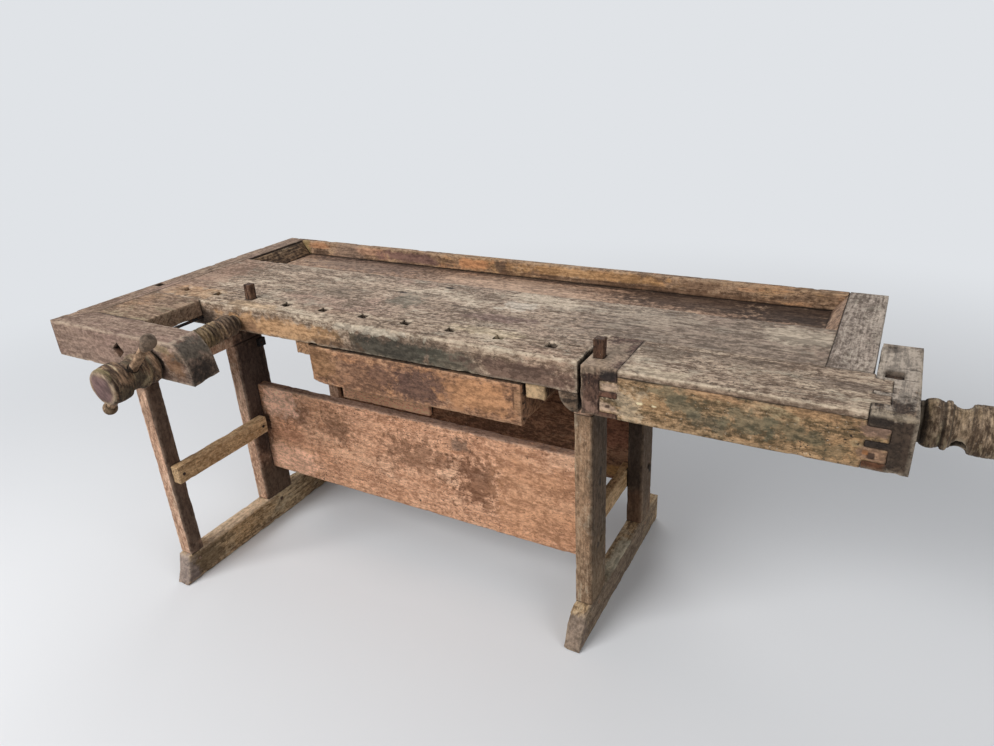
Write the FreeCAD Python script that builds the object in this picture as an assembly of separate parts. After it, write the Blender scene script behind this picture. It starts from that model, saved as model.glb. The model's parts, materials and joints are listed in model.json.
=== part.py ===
"""Joiner's bench with a wooden screw vise at the left and a sliding tail vise at the right.

Frame: millimetres, +Z up, the maker stands at -Y, +X runs along the bench from the front
vise to the tail vise. The origin lies on the floor, under the middle of the whole bench.
"""
import FreeCAD, Part
import math
import os

V = FreeCAD.Vector

# ---------------------------------------------------------------- driving dimensions
TOP_HEIGHT = 820.0            # floor to the working surface

# bench top, along X
END_BOARD_W = 74.0            # left end board
SLAB_LEN = 1918.0             # between the two end boards
TAIL_RUN = 487.0              # notch for the tail vise
CAP_W = 92.0                  # right end board

# bench top, along Y
BACK_RAIL_T = 25.0
TRAY_W = 271.0
REAR_SLAB_W = 315.0
DOG_STRIP_W = 82.0
ARM_GAP = 192.0               # slab to the front vise arm
ARM_T = 96.0
TAIL_NOTCH = 170.0            # how far the tail vise reaches into the slab
CHEEK_PROUD = 13.0            # tail vise in front of the slab

# bench top, thicknesses in Z
SLAB_T = 81.0
END_BOARD_H = 100.0
BACK_RAIL_H = 95.0
TRAY_DEPTH = 52.0
TRAY_T = 18.0
TONGUE_LEN = 20.0             # slab tongues in the end boards
TONGUE_T = 25.0
TRAY_TONGUE = 8.0             # tray bottom in its grooves
RAIL_TENON_L = 20.0
RAIL_TENON_H = 50.0
RAIL_TENON_UP = 11.0          # tenon above the rail's lower edge
RAIL_TENON_BACK = 8.0         # tenon inside the rail's back face
RAMP_RUN = 38.0               # sloped ends of the tray, along X

# dog holes and dogs
DOG_HOLE_X = 26.0
DOG_HOLE_Y = 28.0
DOG_FIRST = 78.0              # end board to the first hole's middle
DOG_PITCH = 140.0
DOG_LAST = 60.0               # least wood between the last hole's middle and the notch
DOG_RAISED = 2                # index of the hole that holds the raised dog
END_HOLE_X = 24.0             # hole in the left end board
DOG_GAP = 0.3                 # dog to hole, on each side
DOG_LEN = 125.0
DOG_UP = 45.0                 # raised above the top
SPRING_T = 2.2
SPRING_BOW = 1.0
SPRING_LEN = 80.0
JAW_DOG_IN = 25.0             # jaw's face to its hole's middle
JAW_DOG_FORWARD = 21.0        # jaw's hole in front of the slab's holes

# front vise
ARM_LEN = 575.0
ARM_H = 109.0
ARM_END_FLAT = 27.0           # straight lower part of the arm's outer end
ARM_NOSE = 67.0               # length of the arm's rounded top corner
ARM_SLANT = 18.0              # arm's outer end, shorter at its back
BLOCK_LEN = 213.0             # shoulder block
BLOCK_T = 50.0
TIE_BOLT_IN = 6.0             # from the shoulder block's right end
TIE_NUT = 18.0
TIE_NUT_T = 10.0
TIE_NUT_BACK = 22.0           # nut from the bolt's far end
TIE_BOLT_GAP = 1.0            # under the shoulder block
TIE_BOLT_R = 4.5
TIE_BOLT_REACH = 42.0         # into the dog strip
TIE_HEAD = 16.0
RECESS = 32.0
RECESS_DEPTH = 30.0
RECESS_X = 6.0                # recess's middle from the bolt
RECESS_Z = 4.5
RECESS_TURN = -41.0           # degrees, the recess stands nearly on its corner

# both vise screws
THREAD_R = 33.5
THREAD_DEPTH = 4.5
THREAD_PITCH = 12.0
THREAD_FLAT = 4.0
RUN_FIT = 0.08                # radial running clearance
FRONT_SCREW_X = 424.0
FRONT_SCREW_DROP = 64.5       # axis below the top, at the middle of the arm
FRONT_SCREW_TILT = 2.8        # degrees that the head droops
FRONT_HEAD_GAP = 4.0
PAD_R = 24.0
PAD_T = 9.0
PAD_PIN_R = 6.0
PAD_PIN_L = 16.0
PAD_GAP = 1.4

# front handle
HANDLE_ALONG = 68.0           # hole from the head's inner face
HANDLE_R = 12.5
HOLE_REACH = 80.0             # half length of the cut for a handle hole
HANDLE_ANGLE = 48.0           # degrees from upright, towards +X
HANDLE_UP = 187.0             # axis to the flared end's tip
HANDLE_DOWN = 172.0           # axis to the ball's shoulder
FLARE_R = 20.0
FLARE_LEN = 72.0
BALL_R = 20.0
BALL_PIN_R = 8.0
BALL_PIN_L = 18.0

# tail vise
JAW_GAP = 10.0
JAW_LEN = 87.0
FINGER_L = 41.0               # cheek fingers in the jaw and in the end block
TAIL_H = 121.0
COVER_T = 16.0
CHEEK_T = 46.0
CAP_GAP = 4.0
END_BLOCK_W = 82.0
END_BLOCK_DEPTH = 180.0        # end block behind the slab's notch
SIDE_GAP = 0.6
JAW_FINGERS = [(13.0, 51.0), (66.0, 91.0)]    # cheek fingers, above the cheek's underside
BLOCK_FINGERS = [(18.0, 48.0), (62.0, 92.0)]
COVER_TONGUES = [(138.0, 97.0), (81.0, 22.0)]    # cover tongues, in front of the slab's notch
COVER_TONGUE_L = 33.0
TAIL_SCREW_Y = 37.0           # axis in front of the slab's notch
TAIL_SCREW_DROP = 71.6
TAIL_SCREW_IN = 328.0         # thread inside the end block
NECK_R = 36.0
GROOVE_R = 28.0
GROOVE_AT = 15.0              # garter groove from the end block's inner face
KEY_W = 34.0
KEY_T = 30.0
KEY_SUNK = 9.0
KEY_FLOOR = 14.0              # wood left under the key
KEY_GAP = 0.3
NUT_GAP = 10.0                # nut block to the cheek
NUT_UNDER = 3.0
NUT_TENON = 30.0
TAIL_HEAD_GAP = 2.0
TAIL_HOLE_ALONG = 73.0
TAIL_HOLE_TURN = 40.0         # degrees that the hole's mouth looks down at the front
STRIP_T = 12.0
STRIP_DROP = 18.0
GUIDE_W = 44.0
GUIDE_H = 36.0
GUIDE_Y = 123.0               # bar's front face behind the slab's notch
GUIDE_LEN = 448.0
GUIDE_DROP = 2.0
KEEPER_W = 50.0
KEEPER_WALL = 28.0
KEEPERS = [172.0, 56.0]       # left faces, from the right end board
SLIDE_GAP = 0.3

# trestles
LEG_T = 48.0
LEFT_SET = 6.0                # left trestle to the shoulder block
RIGHT_SET = 31.0              # right trestle's left face from the notch
FOOT_H = 93.0
BEARER_H = 77.0
FRONT_LEG_SETBACK = 12.0      # left front leg behind the arm's face
FRONT_LEG_W = 46.0
MID_LEG_SETBACK = 45.0        # behind the slab's front
LEFT_MID_W = 114.0
RIGHT_MID_W = 102.0
LEFT_REAR_Y = 235.0           # leg fronts from the bench's back
LEFT_REAR_W = 93.0
RIGHT_REAR_Y = 252.0
RIGHT_REAR_W = 93.0
NOSE_H = 93.0                 # height that the toes' outlines are drawn for
LEFT_TOE = 39.0               # toes in front of the first leg
LEFT_NOSE = [(0.0, 0.0), (13.0, 30.0), (28.0, 93.0)]
RIGHT_TOE = 87.0
RIGHT_NOSE = [(0.0, 0.0), (4.0, 14.0), (25.0, 56.0), (46.0, 74.0), (50.0, 84.0), (81.0, 93.0)]
HEEL = 74.0
BEARER_BACK = 60.0
TENON_T = 16.0
TENON_EDGE = 12.0
TENON_L = 55.0
UPPER_TENON_L = 34.0
PEG_R = 5.0
MID_RAIL_T = 30.0
LEFT_RAIL_Z = 350.0
LEFT_RAIL_H = 55.0
RIGHT_RAIL_Z = 215.0
RIGHT_RAIL_H = 60.0
RAIL_OVER = 8.0
RAIL_LAP = 36.5               # left rail's lap on the middle leg
RAIL_CLEAR = 1.0              # right rail to each stretcher
NAIL_R = 2.0
NAIL_HEAD_R = 4.5
NAIL_HEAD_T = 1.5
NAIL_LEN = 62.0
NAIL_IN = 26.0

# stretchers
STRETCHER_T = 33.0
STRETCHER_H = 310.0
STRETCHER_Z = 199.0
FRONT_STRETCHER_SET = 51.0    # behind the middle legs' front
REAR_STRETCHER_SET = 38.0
STUB_L = 12.0
STUB_IN = 8.0
STUB_EDGE = 40.0
BED_BOLT_R = 5.0
BED_BOLT_UP = 68.0
BED_BOLT_LEN = 96.0
BED_HEAD_R = 8.5
BED_HEAD_T = 6.0
BED_SINK = 16.0
BED_NUT = 16.0
BED_NUT_T = 8.0
BED_NUT_BACK = 9.0
BATTEN_LEN = 390.0
BATTEN_H = 100.0
BATTEN_T = 18.0
BATTEN_UP = 92.0
BATTEN_NAIL_IN = 60.0

# leg bolt
LEG_BOLT_DOWN = 22.0          # below the bearer
LEG_BOLT_IN = 16.0
LEG_BOLT_R = 5.0
LEG_NUT = 26.0
LEG_NUT_T = 12.0

# drawer
DRAWER_SET = 116.0            # drawer to the right trestle
DRAWER_W = 664.0
DRAWER_H = 113.0
DRAWER_L = 363.0
DRAWER_TOP_GAP = 4.0
DRAWER_FRONT_T = 25.0
DRAWER_SIDE_T = 15.0
DRAWER_BACK_T = 15.0
DRAWER_BOTTOM_T = 9.0
DRAWER_GROOVE = 5.0
DRAWER_BOTTOM_UP = 9.0
DRAWER_SIDE_UP = 4.0          # sides above the front board's lower edge
DRAWER_BACK_DOWN = 6.0
TOE_STEP = [(0.0, 10.0), (23.0, 3.0), (57.0, 0.0)]   # worn lower left corner
LAP_TAIL = 15.0               # dovetail tails in the front board
LAP_TAILS = [(14.0, 40.0), (58.0, 86.0)]
RUNNER_GAP = 7.0
RUNNER_W = 51.0
RUNNER_H = 42.0
RUNNER_SET = 13.0             # runner ends behind the slab's front
RUNNER_BACK = 20.0            # runners run on behind the drawer
TONGUE_SET = 20.0             # runner tongues start behind the runner's end
TONGUE_DOWN = 15.0            # tongue below the slab
TONGUE_H = 12.0
SIDE_GROOVE = 8.0
RUNNER_SCREWS = [0.18, 0.82]  # along the runner
SCREW_R = 3.0
SCREW_HEAD_R = 6.0
SCREW_HEAD_T = 3.0
SCREW_LEN = 55.0

# slab bracket
BRACKET_L = 50.0
BRACKET_H = 49.0
BRACKET_T = 40.0

FIT = 0.1                     # clearance of a glued or driven joint
TIGHT = 0.02                  # radial clearance of a nail, screw or peg in its hole

# ---------------------------------------------------------------- heads of the two screws
# (along, radius) points; a three-value entry adds the point that an arc passes through
FRONT_HEAD = [
    (0.0, 43.0), ((13.0, 48.0), 26.0, 43.5), (29.0, 43.5), ((42.0, 48.5), 55.0, 43.0),
    ((71.0, 40.0), 88.0, 43.0), ((90.5, 49.0), 97.0, 51.0), ((114.0, 52.0), 131.0, 50.0),
    ((140.0, 48.5), 146.0, 44.0),
]
TAIL_HEAD = [
    (0.0, 42.0), (6.0, 43.0), ((24.0, 50.0), 40.0, 46.0), (43.0, 46.0), ((49.5, 50.0), 56.0, 46.0),
    ((73.0, 37.5), 88.0, 44.0), ((90.5, 49.0), 96.0, 50.0), ((118.0, 51.0), 138.0, 49.5),
    ((145.0, 48.0), 151.0, 44.0),
]


def head_length(head):
    return head[-1][-2]


# ---------------------------------------------------------------- places
OVERALL_X = END_BOARD_W + SLAB_LEN + CAP_W + CAP_GAP + END_BLOCK_W + TAIL_HEAD_GAP + head_length(TAIL_HEAD)
TILT = math.radians(FRONT_SCREW_TILT)
HEAD_REACH = ARM_T / 2 / math.cos(TILT) + FRONT_HEAD_GAP + head_length(FRONT_HEAD)
HEAD_FRONT = HEAD_REACH * math.cos(TILT) + FRONT_HEAD[-1][-1] * math.sin(TILT) - ARM_T / 2
OVERALL_Y = BACK_RAIL_T + TRAY_W + REAR_SLAB_W + DOG_STRIP_W + ARM_GAP + ARM_T + HEAD_FRONT

X0 = -OVERALL_X / 2                       # left face of the bench
X_SLAB = X0 + END_BOARD_W
X_CAP = X_SLAB + SLAB_LEN
X_NOTCH = X_CAP - TAIL_RUN
X_CAP_OUT = X_CAP + CAP_W
X_JAW = X_NOTCH + JAW_GAP
X_JAW_IN = X_JAW + JAW_LEN
X_BLOCK = X_CAP_OUT + CAP_GAP
X_BLOCK_OUT = X_BLOCK + END_BLOCK_W

Y_BACK = OVERALL_Y / 2
Y_RAIL = Y_BACK - BACK_RAIL_T
Y_TRAY = Y_RAIL - TRAY_W                  # tray edge of the slab
Y_STRIP = Y_TRAY - REAR_SLAB_W            # seam between slab and dog strip
Y_SLAB = Y_STRIP - DOG_STRIP_W            # front of the slab
Y_ARM_IN = Y_SLAB - ARM_GAP
Y_ARM = Y_ARM_IN - ARM_T                  # front of the arm
Y_NOTCH = Y_SLAB + TAIL_NOTCH
Y_CHEEK = Y_SLAB - CHEEK_PROUD

Z_TOP = TOP_HEIGHT
Z_SLAB = Z_TOP - SLAB_T
Z_ARM = Z_TOP - ARM_H
Z_TAIL = Z_TOP - TAIL_H
Z_COVER = Z_TOP - COVER_T
Z_TRAY = Z_TOP - TRAY_DEPTH
Z_BEARER = Z_SLAB - BEARER_H

X_LEFT = X_SLAB + BLOCK_LEN + LEFT_SET
X_RIGHT = X_NOTCH - RIGHT_SET

DOG_X = DOG_HOLE_X - 2 * DOG_GAP
DOG_Y = DOG_HOLE_Y - SPRING_T - SPRING_BOW - 2.6 * DOG_GAP
DOG_COUNT = int((X_NOTCH - X_SLAB - DOG_FIRST - DOG_LAST) // DOG_PITCH) + 1
LEG_BOLT_Z = Z_BEARER - LEG_BOLT_DOWN

FRONT_AXIS = V(0, math.cos(TILT), math.sin(TILT))
FRONT_PIVOT = V(X0 + FRONT_SCREW_X, Y_ARM + ARM_T / 2, Z_TOP - FRONT_SCREW_DROP)
HEAD_AT = -(ARM_T / 2 / math.cos(TILT) + FRONT_HEAD_GAP)     # head's inner face on the axis
PAD_FACE = (Y_SLAB - FRONT_PIVOT.y) / math.cos(TILT) - PAD_GAP
HANDLE_PIVOT = FRONT_PIVOT + FRONT_AXIS * (HEAD_AT - HANDLE_ALONG)
UPRIGHT = V(0, -math.sin(TILT), math.cos(TILT))
HANDLE_LEAN = math.radians(HANDLE_ANGLE)
HANDLE_DIR = UPRIGHT * math.cos(HANDLE_LEAN) + V(1, 0, 0) * math.sin(HANDLE_LEAN)
TAIL_AXIS = V(X_BLOCK, Y_NOTCH - TAIL_SCREW_Y, Z_TOP - TAIL_SCREW_DROP)

nodes = {}


def add(name, *solids):
    """Store the solids of one node."""
    nodes[name] = Part.makeCompound(list(solids)) if len(solids) > 1 else solids[0]


def box(x0, x1, y0, y1, z0, z1):
    return Part.makeBox(x1 - x0, y1 - y0, z1 - z0, V(x0, y0, z0))


def rod(base, direction, radius, length):
    return Part.makeCylinder(radius, length, base, direction)


def cut_all(shape, cutters):
    for cutter in cutters:
        shape = shape.cut(cutter)
    return shape


def prism(points, sweep):
    """A polygon of points, carried along the vector sweep."""
    wire = Part.makePolygon(points + [points[0]])
    return Part.Face(wire).extrude(sweep)


def profile_wire(points):
    """Closed half section, along local Z with the radius along local X."""
    edges = []
    last = V(0, 0, points[0][-2])
    start = last
    for point in points:
        end = V(point[-1], 0, point[-2])
        if len(point) == 3:
            middle = V(point[0][1], 0, point[0][0])
            edges.append(Part.Arc(last, middle, end).toShape())
        elif not end.isEqual(last, 1e-9):
            edges.append(Part.makeLine(last, end))
        last = end
    axis_end = V(0, 0, last.z)
    if not last.isEqual(axis_end, 1e-9):
        edges.append(Part.makeLine(last, axis_end))
    edges.append(Part.makeLine(axis_end, start))
    return Part.Wire(edges)


def turned(points, base, direction):
    """Round solid from (along, radius) points, standing at base along direction."""
    solid = Part.Face(profile_wire(points)).revolve(V(0, 0, 0), V(0, 0, 1), 360)
    turn = FreeCAD.Rotation(V(0, 0, 1), direction)
    solid.Placement = FreeCAD.Placement(base, turn)
    return solid


def threaded(length):
    """Half section points of a thread from 0 to length, as a row of V rings."""
    points = [(0.0, THREAD_R - THREAD_DEPTH)]
    flank = (THREAD_PITCH - THREAD_FLAT) / 2
    count = int(length // THREAD_PITCH)
    for k in range(count):
        at = k * THREAD_PITCH
        points.append((at + flank, THREAD_R))
        points.append((at + flank + THREAD_FLAT, THREAD_R))
        points.append((at + THREAD_PITCH, THREAD_R - THREAD_DEPTH))
    return points


def square_hole(x, y, z0, z1):
    return box(x - DOG_HOLE_X / 2, x + DOG_HOLE_X / 2, y, y + DOG_HOLE_Y, z0, z1)


# ---------------------------------------------------------------- bench top
def bench_top():
    hole_y = Y_STRIP - DOG_HOLE_Y
    tongue_z = Z_TOP - SLAB_T / 2 - TONGUE_T / 2

    strip = box(X_SLAB, X_NOTCH, Y_SLAB, Y_STRIP, Z_SLAB, Z_TOP)
    for k in range(DOG_COUNT):
        x = X_SLAB + DOG_FIRST + k * DOG_PITCH
        strip = strip.cut(square_hole(x, hole_y, Z_SLAB - 1, Z_TOP + 1))
    add("dog_strip", cut_all(strip, runner_screw_holes() + tie_bolt_cutters()))

    slab = box(X_SLAB, X_CAP, Y_NOTCH, Y_TRAY, Z_SLAB, Z_TOP)
    slab = slab.fuse(box(X_SLAB, X_NOTCH, Y_STRIP, Y_NOTCH, Z_SLAB, Z_TOP))
    slab = slab.fuse(box(X_SLAB - TONGUE_LEN, X_SLAB, Y_STRIP, Y_TRAY, tongue_z, tongue_z + TONGUE_T))
    slab = slab.fuse(box(X_CAP, X_CAP + TONGUE_LEN, Y_NOTCH, Y_TRAY, tongue_z, tongue_z + TONGUE_T))
    slab = slab.cut(tray_board(FIT))
    slab = cut_all(slab.removeSplitter(), runner_screw_holes())
    add("bench_slab", slab)

    corner = [V(X0, Y_ARM, 0), V(X_SLAB, Y_ARM_IN, 0), V(X_SLAB, Y_BACK, 0), V(X0, Y_BACK, 0)]
    bottom = V(0, 0, Z_TOP - END_BOARD_H)
    board = prism([p + bottom for p in corner], V(0, 0, END_BOARD_H))
    board = board.cut(box(X_SLAB - TONGUE_LEN - FIT, X_SLAB, Y_STRIP - FIT, Y_TRAY + FIT,
                          tongue_z - FIT, tongue_z + TONGUE_T + FIT))
    board = board.cut(square_hole(X0 + END_HOLE_X, hole_y, 0, Z_TOP + 1))
    board = board.cut(tray_board(FIT)).cut(back_rail(FIT))
    add("end_board_left", board)

    cap = box(X_CAP, X_CAP_OUT, Y_NOTCH, Y_BACK, Z_SLAB, Z_TOP)
    cap = cap.cut(box(X_CAP, X_CAP + TONGUE_LEN + FIT, Y_NOTCH, Y_TRAY + FIT,
                      tongue_z - FIT, tongue_z + TONGUE_T + FIT))
    cap = cap.cut(tray_board(FIT)).cut(back_rail(FIT)).cut(nut_tenon(FIT))
    add("end_board_right", cap)

    add("tray_bottom", tray_board(0))
    add("tray_back_rail", back_rail(0).cut(tray_board(FIT)))

    for name, wall, run in (("tray_ramp_left", X_SLAB, RAMP_RUN), ("tray_ramp_right", X_CAP, -RAMP_RUN)):
        corners = [V(wall, Y_TRAY, Z_TRAY), V(wall + run, Y_TRAY, Z_TRAY), V(wall, Y_TRAY, Z_TOP)]
        add(name, prism(corners, V(0, TRAY_W, 0)))

    x1 = X_NOTCH
    x0 = X_NOTCH - BRACKET_L
    z0 = Z_SLAB - BRACKET_H
    side = Part.Wire([
        Part.makeLine(V(x1, Y_SLAB, Z_SLAB), V(x0, Y_SLAB, Z_SLAB)),
        Part.Arc(V(x0, Y_SLAB, Z_SLAB), V(x0 + BRACKET_L * 0.2, Y_SLAB, z0 + BRACKET_H * 0.36),
                 V(x1 - BRACKET_L * 0.35, Y_SLAB, z0)).toShape(),
        Part.makeLine(V(x1 - BRACKET_L * 0.35, Y_SLAB, z0), V(x1, Y_SLAB, z0)),
        Part.makeLine(V(x1, Y_SLAB, z0), V(x1, Y_SLAB, Z_SLAB)),
    ])
    add("slab_end_bracket", Part.Face(side).extrude(V(0, BRACKET_T, 0)))


def tray_board(gap):
    """Tray bottom with its tongues, or its grooves when gap is a clearance."""
    t = TRAY_TONGUE + gap
    return box(X_SLAB - t, X_CAP + t, Y_TRAY - t, Y_RAIL + t, Z_TRAY - TRAY_T - gap, Z_TRAY + gap)


def back_rail(gap):
    """Back rail with its end tenons."""
    z0 = Z_TOP - BACK_RAIL_H
    zt = z0 + RAIL_TENON_UP
    t = RAIL_TENON_L + gap
    tenon = box(X_SLAB - t, X_CAP + t, Y_RAIL - gap, Y_BACK - RAIL_TENON_BACK + gap,
                zt - gap, zt + RAIL_TENON_H + gap)
    if gap:
        return tenon
    return box(X_SLAB, X_CAP, Y_RAIL, Y_BACK, z0, Z_TOP).fuse(tenon).removeSplitter()


# ---------------------------------------------------------------- front vise
def tie_bolt_place():
    """Where the tie bolt meets the arm's front, and where its nut starts."""
    middle = V(X_SLAB + BLOCK_LEN - TIE_BOLT_IN, Y_ARM, Z_TOP - BLOCK_T - TIE_BOLT_GAP - TIE_BOLT_R)
    return middle, Y_SLAB + TIE_BOLT_REACH - TIE_NUT_BACK


def tie_bolt_length():
    return Y_SLAB + TIE_BOLT_REACH - Y_ARM - RECESS_DEPTH


def tie_bolt_cutters():
    """Hole of the tie bolt, and the pocket from below that takes its nut."""
    middle, nut_y = tie_bolt_place()
    half = TIE_NUT / 2 + FIT
    return [rod(middle, V(0, 1, 0), TIE_BOLT_R + FIT, RECESS_DEPTH + tie_bolt_length()),
            box(middle.x - half, middle.x + half, nut_y - FIT, nut_y + TIE_NUT_T + FIT,
                Z_SLAB - 1, middle.z + half)]


def front_vise():
    bore = rod(FRONT_PIVOT - FRONT_AXIS * ARM_T, FRONT_AXIS, THREAD_R + RUN_FIT, ARM_T * 2)
    x_end = X0 + ARM_LEN
    z_flat = Z_ARM + ARM_END_FLAT
    plan = prism([V(X0, Y_ARM, Z_ARM), V(x_end, Y_ARM, Z_ARM), V(x_end, Y_ARM_IN, Z_ARM),
                  V(X_SLAB, Y_ARM_IN, Z_ARM)], V(0, 0, ARM_H))
    x_flat = x_end - ARM_NOSE
    outline = Part.Wire([
        Part.makeLine(V(X0, Y_ARM, Z_ARM), V(x_end, Y_ARM, Z_ARM)),
        Part.makeLine(V(x_end, Y_ARM, Z_ARM), V(x_end - 6, Y_ARM, z_flat)),
        Part.Arc(V(x_end - 6, Y_ARM, z_flat), V(x_end - ARM_NOSE * 0.39, Y_ARM, Z_TOP - ARM_H * 0.29),
                 V(x_flat, Y_ARM, Z_TOP)).toShape(),
        Part.makeLine(V(x_flat, Y_ARM, Z_TOP), V(X0, Y_ARM, Z_TOP)),
        Part.makeLine(V(X0, Y_ARM, Z_TOP), V(X0, Y_ARM, Z_ARM)),
    ])
    arm = plan.common(Part.Face(outline).extrude(V(-ARM_SLANT, ARM_T, 0)))
    bolt_at, nut_y = tie_bolt_place()
    half = RECESS / 2
    recess_at = bolt_at + V(RECESS_X, 0, RECESS_Z)
    recess = box(recess_at.x - half, recess_at.x + half, Y_ARM - 1, Y_ARM + RECESS_DEPTH,
                 recess_at.z - half, recess_at.z + half)
    recess.rotate(recess_at, V(0, 1, 0), RECESS_TURN)
    add("front_vise_arm", arm.cut(bore).cut(recess).cut(tie_bolt_cutters()[0]))
    add("front_vise_block", box(X_SLAB, X_SLAB + BLOCK_LEN, Y_ARM_IN, Y_SLAB, Z_TOP - BLOCK_T, Z_TOP))

    head_y = Y_ARM + RECESS_DEPTH
    head = box(bolt_at.x - TIE_HEAD / 2, bolt_at.x + TIE_HEAD / 2, head_y - 10, head_y,
               bolt_at.z - TIE_HEAD / 2, bolt_at.z + TIE_HEAD / 2)
    head.rotate(bolt_at, V(0, 1, 0), RECESS_TURN)
    shank = rod(V(bolt_at.x, head_y, bolt_at.z), V(0, 1, 0), TIE_BOLT_R, tie_bolt_length() - 2)
    add("front_vise_bolt", head.fuse(shank).removeSplitter())
    nut_half = TIE_NUT / 2
    nut = box(bolt_at.x - nut_half, bolt_at.x + nut_half, nut_y, nut_y + TIE_NUT_T,
              bolt_at.z - nut_half, bolt_at.z + nut_half)
    nut_bore = rod(V(bolt_at.x, nut_y - 1, bolt_at.z), V(0, 1, 0), TIE_BOLT_R + TIGHT, TIE_NUT_T + 2)
    add("front_vise_nut", nut.cut(nut_bore))

    tip = PAD_FACE - PAD_T
    shaft = tip - HEAD_AT
    points = [(0.0, 0.0)] + threaded(shaft)
    last = points[-1][0]
    points.append((last, THREAD_R))
    points.append((shaft, THREAD_R))
    screw = turned(points, FRONT_PIVOT + FRONT_AXIS * tip, FRONT_AXIS * -1)
    head = turned(FRONT_HEAD, FRONT_PIVOT + FRONT_AXIS * HEAD_AT, FRONT_AXIS * -1)
    pin_end = FRONT_PIVOT + FRONT_AXIS * (tip - PAD_PIN_L - 2)
    pin_hole = rod(pin_end, FRONT_AXIS, PAD_PIN_R + RUN_FIT, PAD_PIN_L + 3)
    handle_hole = rod(HANDLE_PIVOT - HANDLE_DIR * HOLE_REACH, HANDLE_DIR, HANDLE_R + RUN_FIT, HOLE_REACH * 2)
    add("front_screw", screw.fuse(head).cut(pin_hole).cut(handle_hole).removeSplitter())

    pad = rod(FRONT_PIVOT + FRONT_AXIS * tip, FRONT_AXIS, PAD_R, PAD_T)
    pin = rod(FRONT_PIVOT + FRONT_AXIS * (tip - PAD_PIN_L), FRONT_AXIS, PAD_PIN_R, PAD_PIN_L)
    add("front_screw_pad", pad.fuse(pin).removeSplitter())

    top = HANDLE_UP + HANDLE_DOWN
    bar = turned([
        (0.0, BALL_PIN_R), (BALL_PIN_L, BALL_PIN_R), (BALL_PIN_L, HANDLE_R),
        (top + BALL_PIN_L - FLARE_LEN, HANDLE_R),
        ((top + BALL_PIN_L - FLARE_LEN * 0.6, HANDLE_R + 2.2), top + BALL_PIN_L - FLARE_LEN * 0.28, FLARE_R),
        ((top + BALL_PIN_L - FLARE_LEN * 0.08, FLARE_R - 3.0), top + BALL_PIN_L, 8.0),
    ], HANDLE_PIVOT - HANDLE_DIR * (HANDLE_DOWN + BALL_PIN_L), HANDLE_DIR)
    add("front_handle", bar)
    ball_at = HANDLE_PIVOT - HANDLE_DIR * HANDLE_DOWN
    ball = turned([
        (0.0, 14.0), ((14.0, BALL_R), 30.0, 10.0), ((33.0, 6.0), 34.0, 1.5),
    ], ball_at, HANDLE_DIR * -1)
    add("front_handle_knob", ball.cut(rod(ball_at, HANDLE_DIR * -1, BALL_PIN_R + FIT / 2, BALL_PIN_L + FIT)))


# ---------------------------------------------------------------- tail vise
def fingers(spans, x0, gap):
    """Cheek fingers that start at x0 and run to +X."""
    return [box(x0 - gap, x0 + FINGER_L + gap, Y_CHEEK, Y_CHEEK + CHEEK_T + gap,
                Z_TAIL + low - gap, Z_TAIL + high + gap) for low, high in spans]


def cover_tongues(gap):
    return [box(X_BLOCK, X_BLOCK + COVER_TONGUE_L + gap, Y_NOTCH - near - gap, Y_NOTCH - far + gap,
                Z_COVER - gap, Z_TOP) for near, far in COVER_TONGUES]


def nut_tenon(gap):
    z0 = Z_SLAB + 20
    return box(X_CAP + 24 - gap, X_CAP_OUT - 24 + gap, Y_NOTCH - 1, Y_NOTCH + NUT_TENON + gap,
               z0 - gap, z0 + 36 + gap)


def guide_bar(gap):
    """Bar that carries the tail vise under the slab, and its mortise in the end block."""
    y0 = Y_NOTCH + GUIDE_Y
    z1 = Z_SLAB - GUIDE_DROP
    return box(X_BLOCK - GUIDE_LEN, X_BLOCK + END_BLOCK_W / 2 + gap, y0 - gap, y0 + GUIDE_W + gap,
               z1 - GUIDE_H - gap, z1 + gap)


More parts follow.
